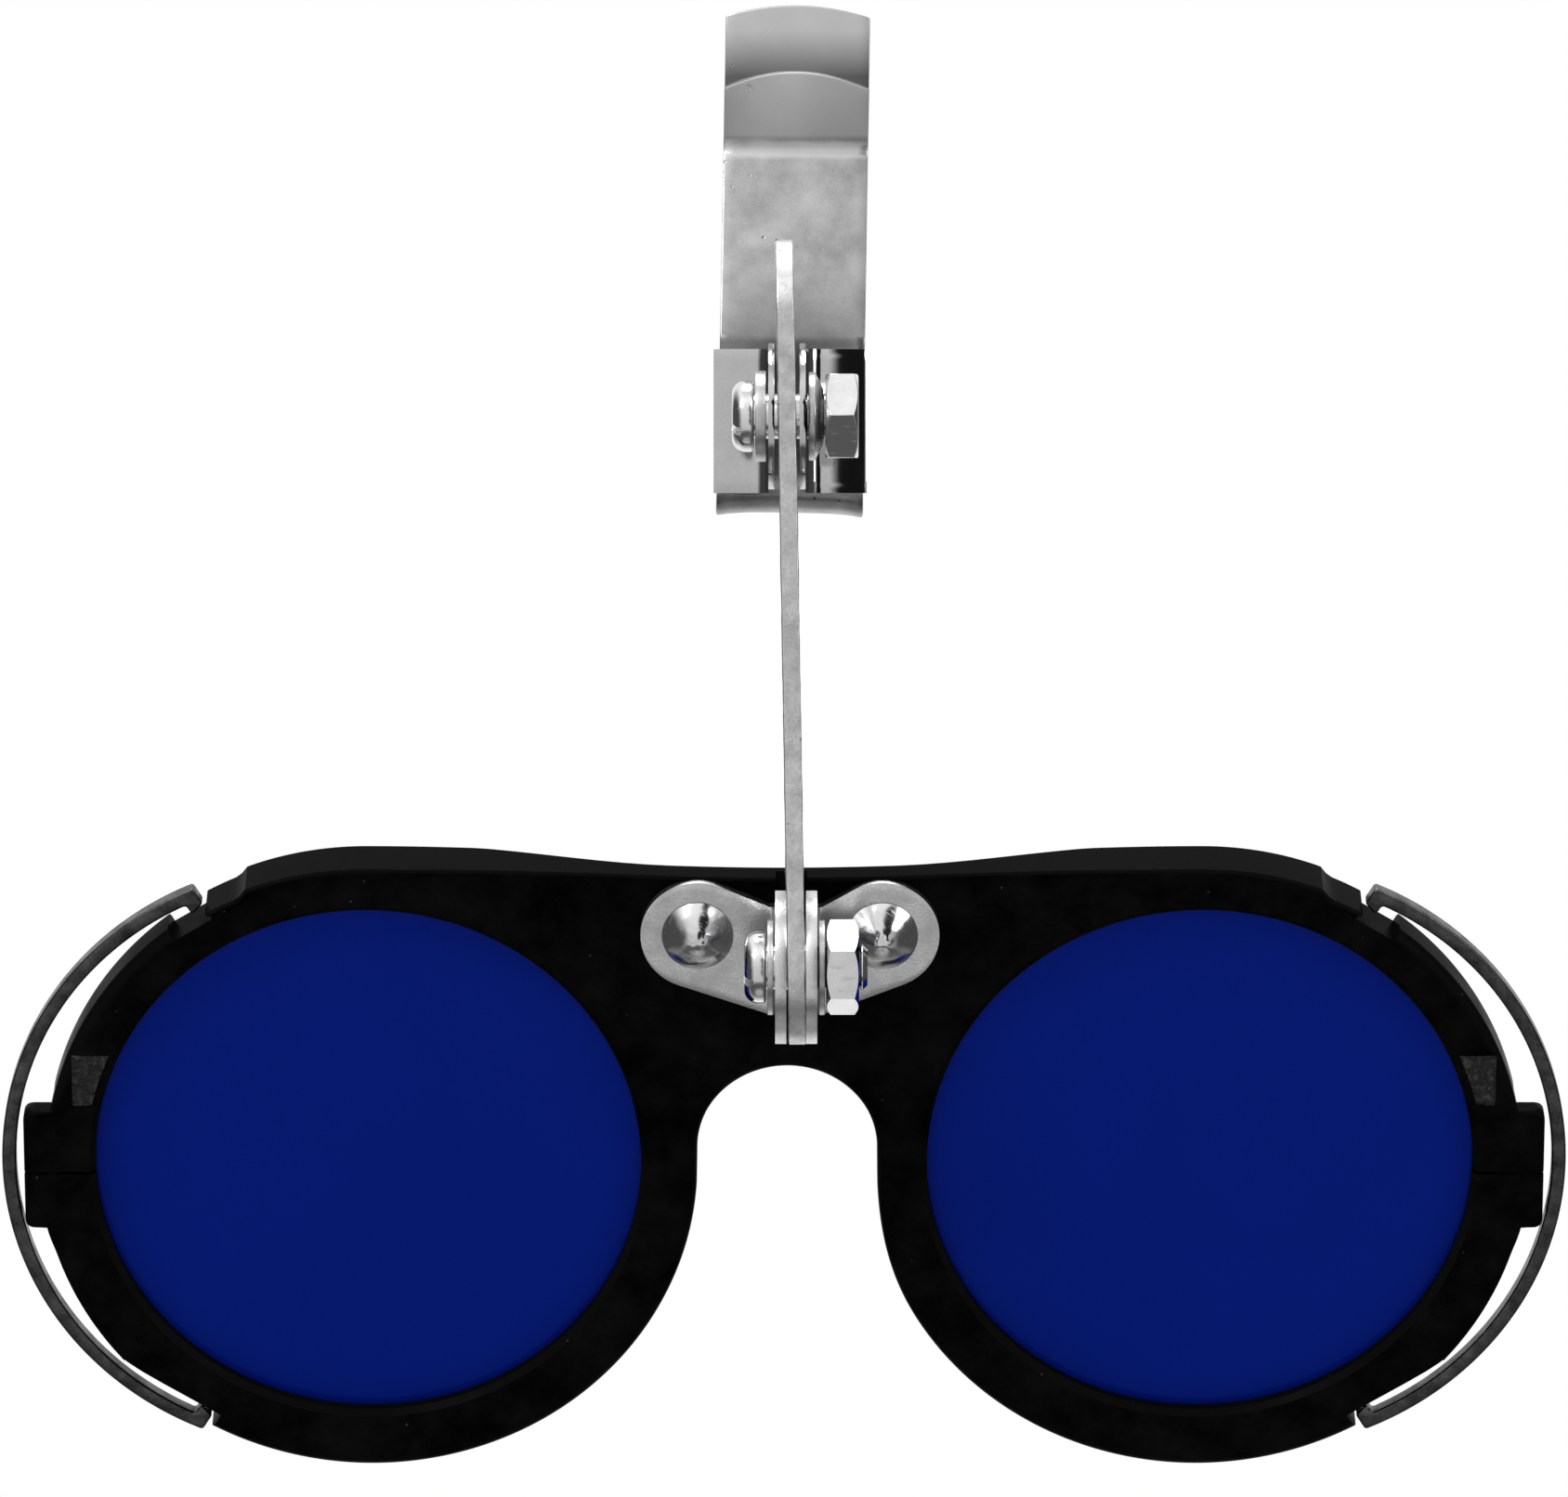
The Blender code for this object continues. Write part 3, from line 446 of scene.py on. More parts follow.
def filleted(points, radius, closed=True, corner=35.0, steps=5):
    """The path with each corner sharper than corner degrees rounded."""
    result = []
    last = len(points) - 1
    for i, point in enumerate(points):
        here = Vector(point)
        back = Vector(points[i - 1]) - here
        ahead = Vector(points[(i + 1) % len(points)]) - here
        turn = math.pi - back.angle(ahead)
        if turn < math.radians(corner) or (not closed and i in (0, last)):
            result.append(tuple(here))
            continue
        reach = min(radius * math.tan(turn / 2), back.length * 0.48, ahead.length * 0.48)
        start = here + back.normalized() * reach
        end = here + ahead.normalized() * reach
        for k in range(steps + 1):
            t = k / steps
            result.append(tuple(start * (1 - t) ** 2 + here * (2 * t * (1 - t)) + end * t ** 2))
    return result


def curve_through(points, x):
    """Height at x of the smooth curve through a few (x, height) points."""
    for i in range(len(points) - 1):
        if x <= points[i + 1][0] or i == len(points) - 2:
            break
    (x0, y0), (x1, y1) = points[i], points[i + 1]
    before = points[max(i - 1, 0)]
    after = points[min(i + 2, len(points) - 1)]
    slope0 = (y1 - before[1]) / (x1 - before[0])
    slope1 = (after[1] - y0) / (after[0] - x0)
    t = min(max((x - x0) / (x1 - x0), 0.0), 1.0)
    run = x1 - x0
    return (y0 * (1 + 2 * t) * (1 - t) ** 2 + slope0 * run * t * (1 - t) ** 2
            + y1 * t ** 2 * (3 - 2 * t) + slope1 * run * t ** 2 * (t - 1))


def smooth_step(value, low, high):
    t = min(max((value - low) / (high - low), 0.0), 1.0)
    return t * t * (3 - 2 * t)


def lathe(name, profile, steps, matrix, closed=False):
    """A solid of revolution about its own Z from (radius, height) points; closed joins last to first."""
    bm = bmesh.new()
    rings = []
    for radius, height in profile:
        if radius < 1e-9:
            rings.append([bm.verts.new((0.0, 0.0, height))])
            continue
        turn = [2 * math.pi * k / steps for k in range(steps)]
        rings.append([bm.verts.new((radius * math.cos(a), radius * math.sin(a), height)) for a in turn])
    pairs = list(zip(rings, rings[1:]))
    if closed:
        pairs.append((rings[-1], rings[0]))
    for first, second in pairs:
        for k in range(steps):
            after = (k + 1) % steps
            corners = [first[k % len(first)], first[after % len(first)],
                       second[after % len(second)], second[k % len(second)]]
            unique = list(dict.fromkeys(corners))
            if len(unique) > 2:
                bm.faces.new(unique)
    return from_bmesh(name, bm, matrix)


def plate(name, outlines, thickness, edge, matrix, segments=3):
    """A flat plate centred on its own XY plane, from closed outlines: its edge first, then its holes."""
    curve = bpy.data.curves.new(name, "CURVE")
    curve.dimensions = "2D"
    curve.fill_mode = "BOTH"
    curve.extrude = thickness / 2 - edge
    curve.bevel_depth = edge
    curve.bevel_resolution = segments
    curve.offset = -edge
    for outline in outlines:
        spline = curve.splines.new("POLY")
        spline.points.add(len(outline) - 1)
        for point, (x, y) in zip(spline.points, outline):
            point.co = (x, y, 0.0, 1.0)
        spline.use_cyclic_u = True
    holder = link_object(name, curve)
    mesh = evaluated_mesh(holder)
    bpy.data.objects.remove(holder, do_unlink=True)
    bpy.data.curves.remove(curve)
    bm = bmesh.new()
    bm.from_mesh(mesh)
    bpy.data.meshes.remove(mesh)
    bmesh.ops.remove_doubles(bm, verts=bm.verts, dist=1e-6)
    return from_bmesh(name, bm, matrix)


def skin(bm, grid):
    """Faces between neighbouring rows of points."""
    for first, second in zip(grid, grid[1:]):
        for corners in zip(first, first[1:], second[1:], second):
            bm.faces.new(corners)


def sheet(name, rows, columns, place):
    """An open sheet of rows (along, out, low, high); place turns (along, out, across) into a position."""
    bm = bmesh.new()
    grid = []
    for along, out, low, high in rows:
        line = [bm.verts.new(place(along, out, low + (high - low) * k / columns)) for k in range(columns + 1)]
        grid.append(line)
    skin(bm, grid)
    return from_bmesh(name, bm)


def fold_rows(ear_x, flange_y, fold, sign, steps, low, high):
    """A bracket's rows round its fold, from the flange's plane to the ear's."""
    rows = []
    for i in range(1, steps + 1):
        angle = math.pi / 2 * (1 - i / steps)
        out = flange_y - fold * (1 - math.sin(angle))
        rows.append((ear_x + sign * fold * (1 - math.cos(angle)), out, low, high))
    return rows


def ear_rows(ear_x, axis_y, radius, start, end, steps):
    """A bracket's rows over the round end of its ear, from start to end in degrees."""
    rows = []
    for i in range(steps + 1):
        angle = math.radians(start + (end - start) * i / steps)
        half = radius * math.cos(angle)
        rows.append((ear_x, axis_y - radius * math.sin(angle), -half, half))
    return rows


def box_tool(name, size, matrix):
    bm = bmesh.new()
    bmesh.ops.create_cube(bm, size=1.0, matrix=Matrix.Diagonal((*size, 1.0)))
    return from_bmesh(name, bm, matrix)


def rod_tool(name, radius, length, matrix, segments=48):
    bm = bmesh.new()
    bmesh.ops.create_cone(bm, cap_ends=True, segments=segments, radius1=radius, radius2=radius, depth=length)
    return from_bmesh(name, bm, matrix)


# ---- visor clip ----

def clip_path():
    """The clip's strip from the front lip, down, round the bend and up the rear leaf, as (y, z) points."""
    radius = (THROAT + STRIP_THICK) / 2
    centre = (0.0, radius - STRIP_THICK / 2)
    crease = (radius - STRIP_THICK - PINCH, 30.6 * MM)
    lip = (crease[0] - 2.6 * MM, 35.45 * MM)
    knee = (-radius, 14.0 * MM)
    front = filleted([lip, crease, knee, (-radius, centre[1])], 2.2 * MM, closed=False, corner=5.0, steps=8)
    bend = arc(centre, radius, math.pi, 2 * math.pi, 32)
    path = front + bend[1:] + [(radius, REAR_HEIGHT)]
    dense = [path[0]]
    for point in path[1:]:
        start = Vector(dense[-1])
        run = Vector(point) - start
        count = max(1, math.ceil(run.length / (1.2 * MM)))
        dense += [tuple(start + run * k / count) for k in range(1, count + 1)]
    return dense


def visor_clip():
    """One strip, its two ends arched and its bend a little wider and curled at the edges."""
    path = clip_path()
    reaches = {0: (Vector(path[0]) - Vector(path[1])).normalized() * LIP_ARCH,
               len(path) - 1: (Vector(path[-1]) - Vector(path[-2])).normalized() * REAR_ARCH}
    columns = 14
    bm = bmesh.new()
    grid = []
    for row, (y, z) in enumerate(path):
        flare = 1 - smooth_step(z, 0.0, 3.5 * MM)
        line = []
        for k in range(columns + 1):
            across = 2 * k / columns - 1
            point = Vector((y, z))
            if row in reaches:
                point += reaches[row] * (1 - across ** 2)
            point.y -= 0.32 * MM * flare * across ** 4
            width = STRIP_WIDTH / 2 * (1 + 0.012 * flare * abs(across))
            line.append(bm.verts.new((across * width, point.x, point.y)))
        grid.append(line)
    skin(bm, grid)
    lean_about = at(0.0, 0.0, 0.45 * REAR_HEIGHT)
    lean = lean_about @ Matrix.Rotation(CLIP_LEAN, 4, "Y") @ lean_about.inverted()
    piece = from_bmesh("visor_clip", bm, lean)
    thickened(piece, STRIP_THICK)
    rounded(piece, 0.14 * MM, 2, 60.0)
    dress(piece, None, "spring_steel", ["clip_front_leaf", "clip_rear_leaf"])
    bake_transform(piece)
    return piece


# ---- upper bracket and pivot ----

def upper_bracket(side, sign):
    """A folded strip, its flange bowed a little and its ear round at the end."""
    ear_x = UPPER_PIVOT.x + sign * (UPPER_EAR_GAP + UPPER_SHEET) / 2
    clip_low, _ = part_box("clip_front_leaf")
    flange_y = clip_low.y - 0.1 * MM - UPPER_SHEET / 2
    free_x = sign * UPPER_FLANGE[side]
    inner_x = ear_x + sign * UPPER_FOLD
    rows = []
    for i in range(13):
        t = i / 12
        bow = UPPER_FLANGE_BOW[side] * (1 - t) ** 2
        rows.append((free_x + (inner_x - free_x) * t, flange_y + bow, -UPPER_EAR_R, UPPER_EAR_R))
    rows += fold_rows(ear_x, flange_y, UPPER_FOLD, sign, 12, -UPPER_EAR_R, UPPER_EAR_R)
    start_y = flange_y - UPPER_FOLD
    for i in range(1, 6):
        rows.append((ear_x, start_y + (UPPER_PIVOT.y - start_y) * i / 5, -UPPER_EAR_R, UPPER_EAR_R))
    rows += ear_rows(ear_x, UPPER_PIVOT.y, UPPER_EAR_R, 0.0, 88.5, 16)[1:]
    name = "upper_bracket_" + side
    piece = sheet(name + "_plate", rows, 12, lambda x, y, z: (x, y, UPPER_PIVOT.z + z))
    thickened(piece, UPPER_SHEET)
    hole = rod_tool("hole", HOLE_R, 4 * MM, at(ear_x, UPPER_PIVOT.y, UPPER_PIVOT.z) @ ALONG_X)
    boolean(piece, [hole])
    rounded(piece, 0.1 * MM, 2, 60.0)
    return dress(piece, "clip", "mirror_nickel", [name])


def screw(name, axis, body, node_name):
    """A pan head screw along X with a driver slot and a chamfered, threaded end."""
    low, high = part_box(node_name)
    length = high.x - low.x - HEAD_HEIGHT
    crown_r = 1.15 * MM
    rim_r = 0.3 * MM
    chamfer = 0.4 * MM
    pitch = 0.7 * MM
    root_r = SCREW_R - 0.28 * MM
    profile = [(0.0, HEAD_HEIGHT), (1.0 * MM, HEAD_HEIGHT - 0.01 * MM)]
    profile += arc((HEAD_R - crown_r, HEAD_HEIGHT - crown_r), crown_r, math.pi / 2, 0.0, 10)
    profile += arc((HEAD_R - rim_r, rim_r), rim_r, 0.0, -math.pi / 2, 4)
    z = -length * 0.45
    profile += [(SCREW_R, 0.0), (SCREW_R, z)]
    while z - pitch > 0.35 * MM - length:
        profile += [(root_r, z - pitch * 0.45), (root_r, z - pitch * 0.55),
                    (SCREW_R, z - pitch * 0.95), (SCREW_R, z - pitch)]
        z -= pitch
    profile += [(SCREW_R, chamfer - length), (SCREW_R - chamfer, -length), (0.0, -length)]
    place = at(low.x + HEAD_HEIGHT, axis.y, axis.z)
    piece = lathe(name, profile, 64, place @ AGAINST_X)
    slot_tool = box_tool("slot", (1.6 * MM, 8 * MM, 0.75 * MM),
                         at(low.x, axis.y, axis.z) @ Matrix.Rotation(0.5, 4, "X"))
    boolean(piece, [slot_tool])
    return dress(piece, body, "bright_steel", [node_name])


def washer(name, radius, body, matrix, node_name, width, edge=0.1 * MM):
    """A flat washer with rounded edges, from the node's place and thickness along its own Z."""
    profile = filleted([(HOLE_R, width), (radius, width), (radius, 0.0), (HOLE_R, 0.0)], edge, steps=3)
    piece = lathe(name, profile, 72, matrix, closed=True)
    return dress(piece, body, "zinc_plate", [node_name])


def dished_washer():
    """The conical spring washer of the upper pivot."""
    low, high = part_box("upper_spring_washer")
    radius = (high.z - low.z) / 2
    rise = 0.75 * MM
    thick = high.x - low.x - rise
    corners = [(HOLE_R, rise + thick), (radius, thick), (radius, 0.0), (HOLE_R, rise)]
    place = at(low.x, UPPER_PIVOT.y, UPPER_PIVOT.z) @ ALONG_X
    piece = lathe("spring_washer", filleted(corners, 0.12 * MM, steps=3), 72, place, closed=True)
    return dress(piece, "upper_pivot", "zinc_plate", ["upper_spring_washer"])


def hex_nut(name, axis, turn, body, node_name):
    """A hexagon nut, both faces chamfered, with a countersunk bore."""
    low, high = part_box(node_name)
    corner = NUT_FLATS / 2 / math.cos(math.pi / 6)
    half = NUT_THICK / 2
    seat = NUT_FLATS / 2 - 0.12 * MM
    slope = math.tan(math.radians(30.0))
    outer = corner + 0.3 * MM
    drop = (outer - seat) * slope
    place = at((low.x + high.x) / 2, axis.y, axis.z) @ Matrix.Rotation(turn, 4, "X") @ ALONG_X
    barrel = [(0.0, half), (seat, half), (outer, half - drop)]
    barrel += [(radius, -z) for radius, z in reversed(barrel)]
    piece = rod_tool(name, corner, NUT_THICK + 1 * MM, place, 6)
    turned = lathe("turned", barrel, 96, place)
    boolean(piece, [turned], "INTERSECT")
    bore_r = 2.0 * MM
    sink = 0.35 * MM
    past = half + 1 * MM
    wide = bore_r + sink + 1 * MM
    bore = [(0.0, past), (wide, past), (bore_r, half - sink)]
    bore += [(radius, -z) for radius, z in reversed(bore)]
    boolean(piece, [lathe("bore", bore, 48, place)])
    rounded(piece, 0.09 * MM, 2, 25.0)
    return dress(piece, body, "bright_steel", [node_name])


def upper_pivot():
    """The screw that the arm swings on, with its washers and nut."""
    low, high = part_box("upper_washer")
    place = at(low.x, UPPER_PIVOT.y, UPPER_PIVOT.z) @ ALONG_X
    washer("upper_flat_washer", (high.z - low.z) / 2, "upper_pivot", place, "upper_washer", high.x - low.x)
    dished_washer()
    screw("upper_pan_screw", UPPER_PIVOT, "upper_pivot", "upper_screw")
    hex_nut("upper_hex_nut", UPPER_PIVOT, 0.0, "upper_pivot", "upper_nut")


# ---- arm ----

def hanging_arm():
    """The flat bar, its sheared edges a little ragged."""
    half = ARM_WIDTH / 2
    top = PIVOT_SPACING + ARM_TAIL - half
    toe = half - ARM_TOE
    side_steps = 60
    right = [(half, toe + (top - toe) * k / side_steps) for k in range(1, side_steps)]
    left = [(-half, top + (toe - top) * k / side_steps) for k in range(1, side_steps)]
    outline = arc((0.0, toe), half, math.pi, 2 * math.pi, 40) + right
    outline += arc((0.0, top), half, 0.0, math.pi, 40) + left
    hole = arc((0.0, 0.0), HOLE_R, 0.0, 2 * math.pi, 40)[:-1]
    slot = arc((0.0, PIVOT_SPACING), HOLE_R, math.pi, 2 * math.pi, 20)
    slot += arc((0.0, PIVOT_SPACING + SLOT_TRAVEL), HOLE_R, 0.0, math.pi, 20)
    stand = Matrix.Rotation(-ARM_LEAN, 4, "Y") @ Matrix.Rotation(math.pi / 2, 4, "Z") @ FACING
    place = Matrix.Translation(LOWER_PIVOT) @ stand
    piece = plate("hanging_arm", [outline, hole, slot], ARM_THICK, 0.16 * MM, place)
    roughen(piece, 0.04 * MM, 1.3 * MM)
    roughen(piece, 0.03 * MM, 0.4 * MM)
    return dress(piece, "arm", "arm_steel", ["arm"])


# ---- moulded frame ----

# lower boundary of the brow's sloped lip: (x from the frame's middle, height above the lens centres)
LIP_LINE = [(x * MM, z * MM) for x, z in
            ((0.0, 25.76), (10.0, 26.1), (18.7, 26.2), (24.7, 25.75), (29.9, 24.95), (35.4, 23.75),
             (41.5, 23.2), (48.0, 22.65))]
BROW_Z = 26.3 * MM             # top of the bridge above the lens centres
NOSE_R = 7.6 * MM
NOSE_X = 0.27 * MM
NOSE_Z = 1.1 * MM
NOSE_BLEND = math.radians(150.0)
TAB_REACH = 29.15 * MM
TAB_TOP = 4.8 * MM
TAB_BOTTOM = -6.0 * MM
SEAT_ANGLE = math.radians(68.0)
HOOK_ANGLE = math.radians(58.6)
LIP_END = math.radians(60.0)
SPLIT_Z = -0.9 * MM
PAD_X = 22.75 * MM             # middle of a grip pad, outward from the lens centre
PAD_Z = 7.6 * MM
NOTCH_RUN = {1: 2.9 * MM, -1: 8.5 * MM}       # of the upper and the lower spring notches, towards the tab
BROW_NOTCH = (-1.7 * MM, 0.9 * MM)            # its two sides, from the lower pivot


def rim_radius(angle, sign):
    """The rim's outer radius at an angle up from outward: less at the spring's seat, drawn in at the nose."""
    if angle > 0:
        return SEAT_R + (RIM_R - SEAT_R) * smooth_step(angle, SEAT_ANGLE - 0.02, SEAT_ANGLE + 0.02)
    foot_r = LENS_X - NOSE_R - sign * NOSE_X
    return RIM_R + (foot_r - RIM_R) * smooth_step(-angle, NOSE_BLEND, math.pi)


def rim_points(start, end, steps, sign):
    """(x, z, outward) round the rim, as if it were the right one."""
    for k in range(steps + 1):
        angle = start + (end - start) * k / steps
        radial = Vector((math.cos(angle), math.sin(angle)))
        spot = radial * rim_radius(angle, sign)
        yield LENS_X + spot.x, RIM_Z + spot.y, radial


def outline_half(sign):
    """Half of the frame's outline, from the middle of the brow round to the top of the nose arch.

    Each point is (x, z, outward, front rounding, back rounding, rise of the brow's lip)."""
    half = []
    steps = 36
    brow = RIM_Z + RIM_R
    for i in range(steps):
        t = i / steps
        x = LENS_X * t
        z = brow - (brow - BROW_Z) * (1 + math.cos(math.pi * t)) / 2
        rise = (0.35 + 0.75 * smooth_step(x, 12 * MM, LENS_X)) * MM
        half.append((x, z, None, 0.3 * MM, 0.5 * MM, rise))
    tab_top = math.asin((TAB_TOP - RIM_Z) / SEAT_R)
    for x, z, outward in rim_points(math.pi / 2, tab_top, 60, sign):
        angle = math.atan2(outward.y, outward.x)
        still = smooth_step(angle, LIP_END - 0.1, LIP_END)
        near_tab = smooth_step(z, TAB_TOP, TAB_TOP + 3 * MM)
        front = (0.3 + 0.7 * (1 - still) * near_tab) * MM
        half.append((x, z, outward, front, 0.5 * MM, 1.1 * MM * still))
    reach = LENS_X + TAB_REACH
    tab_bottom = math.asin((TAB_BOTTOM - RIM_Z) / RIM_R)
    tab = filleted([(half[-1][0], half[-1][1]), (reach, TAB_TOP), (reach, TAB_BOTTOM),
                    (LENS_X + RIM_R * math.cos(tab_bottom), TAB_BOTTOM)], 0.9 * MM, closed=False, steps=6)
    half += [(x, z, None, 0.3 * MM, 0.5 * MM, 0.0) for x, z in tab[1:-1]]
    for x, z, outward in rim_points(tab_bottom, 0.06 - math.pi, 130, sign):
        away = smooth_step(-z, -TAB_BOTTOM, 3 * MM - TAB_BOTTOM) if x > LENS_X else 1.0
        half.append((x, z, outward, (0.3 + 0.9 * away) * MM, (0.5 + 0.7 * away) * MM, 0.0))
    for x, z in arc((sign * NOSE_X, NOSE_Z), NOSE_R, 0.0, math.pi / 2, 28):
        half.append((x, z, Vector((sign * NOSE_X - x, NOSE_Z - z)).normalized(), 1.1 * MM, 1.2 * MM, 0.0))
    return half


def lip_edge(x, z, inset):
    """Where the lip's slope meets the flat face, for a point on the brow; elsewhere the inset point."""
    side = abs(x)
    if z < 22 * MM or side > 49.2 * MM:
        return inset
    height = curve_through(LIP_LINE, side)
    return Vector((x, min(height, inset.y)))


def frame_shell():
    """The frame's body: rings of points from the flat face over its rounded edges to the back."""
    flip = Vector((-1.0, 1.0))
    other = outline_half(-1)[1:-1]
    mirrored = [(-x, z, outward and outward * flip, *rest) for x, z, outward, *rest in reversed(other)]
    points = outline_half(1) + mirrored
    count = len(points)
    bm = bmesh.new()
    columns = []
    for i, (x, z, outward, front_r, back_r, rise) in enumerate(points):
        here = Vector((x, z))
        if outward is None:
            along = Vector(points[(i + 1) % count][:2]) - Vector(points[i - 1][:2])
            outward = Vector((-along.y, along.x)).normalized()
        column = []
        inset = here - outward * front_r
        edge = lip_edge(x, z, inset)
        if rise > 0.02 * MM:
            column += [(edge.lerp(inset, k / 4), FRONT - rise * (k / 4) ** 1.35) for k in range(5)]
        else:
            column += [(inset, FRONT)] * 5
        for k in range(1, 5):
            a = math.pi / 2 * k / 4
            depth = FRONT - rise + front_r * (1 - math.cos(a))
            column.append((inset + outward * front_r * math.sin(a), depth))
        back = FRONT + THICK
        for k in range(6):
            a = math.pi / 2 * k / 5
            column.append((here - outward * back_r * (1 - math.cos(a)), back - back_r * (1 - math.sin(a))))
        columns.append([bm.verts.new((p.x, depth, p.y)) for p, depth in column])
    for i in range(count):
        first = columns[i]
        second = columns[(i + 1) % count]
        for a, b, c, d in zip(first, second, second[1:], first[1:]):
            bm.faces.new((a, b, c, d))
    bm.faces.new([column[0] for column in columns])
    bm.faces.new([column[-1] for column in reversed(columns)])
    bmesh.ops.remove_doubles(bm, verts=bm.verts, dist=2e-6)
    bmesh.ops.dissolve_degenerate(bm, dist=1e-6, edges=bm.edges)
    return from_bmesh("moulded_frame", bm)


def lens_tool(side, sign):
    """The opening of one rim with its lens groove, turned about the lens axis."""
    chamfer = 0.5 * MM
    groove_r = 25.1 * MM
    profile = [
        (0.0, 3 * MM),
        (OPENING_R + chamfer + 3 * MM, 3 * MM),
        (OPENING_R, -chamfer),
        (OPENING_R, -FRONT_LIP),
        (groove_r, -FRONT_LIP),
        (groove_r, -FRONT_LIP - 2.2 * MM),
        (OPENING_R, -FRONT_LIP - 2.2 * MM),
        (OPENING_R, 0.3 * MM - THICK),
        (OPENING_R + 3.3 * MM, -THICK - 3 * MM),
        (0.0, -THICK - 3 * MM),
    ]
    place = at(sign * LENS_X, FRONT, 0.0) @ FACING
    return lathe("opening_" + side, profile, 160, place)


def notch_tool(sign, up, run):
    """The notch that a bow spring's end hooks into, with a run-out towards the tab."""
    floor = 26.3 * MM
    depth = 3 * MM
    shoulder = 1.0 * MM
    radial = Vector((math.cos(HOOK_ANGLE), 0.0, math.sin(HOOK_ANGLE)))
    to_tab = Vector((math.sin(HOOK_ANGLE), 0.0, -math.cos(HOOK_ANGLE)))
    spot = (radial * (floor + depth / 2) + to_tab * (run - shoulder) / 2) * Vector((sign, 1, up))
    spot += Vector((sign * LENS_X, FRONT + THICK / 2, RIM_Z))
    turn = Matrix.Rotation(-sign * up * HOOK_ANGLE, 4, "Y")
    return box_tool("notch", (depth, 4 * THICK, run + shoulder), Matrix.Translation(spot) @ turn)


def web_tool():
    """Thins the web between the rims from the back, running out towards the rims' tops."""
    side = []
    for i in range(49):
        angle = math.radians(178.0 - 81.0 * i / 48)
        radius = (27.8 - 1.2 * smooth_step(i, 4, 26)) * MM
        side.append((LENS_X + radius * math.cos(angle), radius * math.sin(angle)))
    above = 34 * MM
    outline = side + [(side[-1][0], above), (-side[-1][0], above)] + [(-x, z) for x, z in reversed(side)]
    back = FRONT + THICK
    piece = plate("web", [outline], 20 * MM, 0.0, at(0.0, back, 0.0) @ FACING)
    run_out = [(31 * MM * t, back - (THICK - WEB_THICK) * (1 - smooth_step(t, 0.3, 1.0)))
               for t in (i / 16 for i in range(17))]
    floor = run_out + [(40 * MM, back + 0.2 * MM), (40 * MM, back + 5 * MM)]
    floor += [(-x, y) for x, y in reversed(floor[1:])]
    boolean(piece, [plate("web_floor", [floor], 90 * MM, 0.0, Matrix())], "INTERSECT")
    return piece


def moulded_frame():
    """The shell cut for the lenses, splits, tabs, grip pads, spring notches, rivets and arm."""
    piece = frame_shell()
    tools = [web_tool()]
    for side, sign in SIDES.items():
        tools.append(lens_tool(side, sign))
        split_at = (sign * (LENS_X + OPENING_R + 3 * MM), FRONT + THICK / 2, SPLIT_Z)
        tools.append(box_tool("split", (8 * MM, 3 * THICK, 0.34 * MM), Matrix.Translation(split_at)))
        thin_at = (sign * (LENS_X + OPENING_R + 7.0 * MM), FRONT + 2.1 * MM + 3 * MM, SPLIT_Z + 5 * MM)
        tools.append(box_tool("tab_back", (7 * MM, 6 * MM, 10 * MM), Matrix.Translation(thin_at)))
        pad_at = (sign * (LENS_X + PAD_X), FRONT, PAD_Z)
        tools.append(box_tool("pad", (4.5 * MM, 0.7 * MM, 4.7 * MM), Matrix.Translation(pad_at)))
        tools += [notch_tool(sign, up, run) for up, run in NOTCH_RUN.items()]
        rivet_at = at(RIVET_X[side] - MID_X, FRONT + THICK / 2, -LENS_Z)
        tools.append(rod_tool("rivet_hole", RIVET_HOLE_R, 3 * THICK, rivet_at @ FACING))
    left, right = BROW_NOTCH
    floor_y = ARM_WIDTH / 2 + 0.25 * MM
    notch_at = LOWER_PIVOT + Vector(((left + right) / 2, floor_y - 3 * MM, 8.5 * MM))
    brow_place = FRAME_PLACE.inverted() @ Matrix.Translation(notch_at)
    tools.append(box_tool("brow_notch", (right - left, 6 * MM, 14 * MM), brow_place))
    boolean(piece, tools)
    rounded(piece, 0.09 * MM, 2, 38.0)
    piece.data.transform(FRAME_PLACE)
    return dress(piece, "lens_carrier", "black_moulding", ["lens_frame"], angle=30.0)


def grip_pad(side, sign):
    """The rough floor of the sunk pad above an upper tab."""
    width = 4.4 * MM
    height = 4.6 * MM
    cells = 44
    bm = bmesh.new()
    bmesh.ops.create_grid(bm, x_segments=cells, y_segments=cells, size=0.5)
    for vertex in list(bm.verts):
        x = sign * (LENS_X + PAD_X) + vertex.co.x * width
        z = PAD_Z + vertex.co.y * height
        lump = noise.noise(Vector((x, 0.0, z)) / (0.55 * MM))
        lump += 0.5 * noise.noise(Vector((x, 5.0, z)) / (0.2 * MM))
        vertex.co = Vector((x, FRONT + 0.22 * MM + lump * 0.09 * MM, z))
    doomed = [v for v in bm.verts if math.hypot(v.co.x - sign * LENS_X, v.co.z) < OPENING_R + 0.75 * MM]
    bmesh.ops.delete(bm, geom=doomed, context="VERTS")
    piece = from_bmesh("grip_pad_" + side, bm, FRAME_PLACE)
    thickened(piece, 0.06 * MM)
    return dress(piece, "lens_carrier", "black_moulding", [], ROUGH_BLACK, angle=60.0)


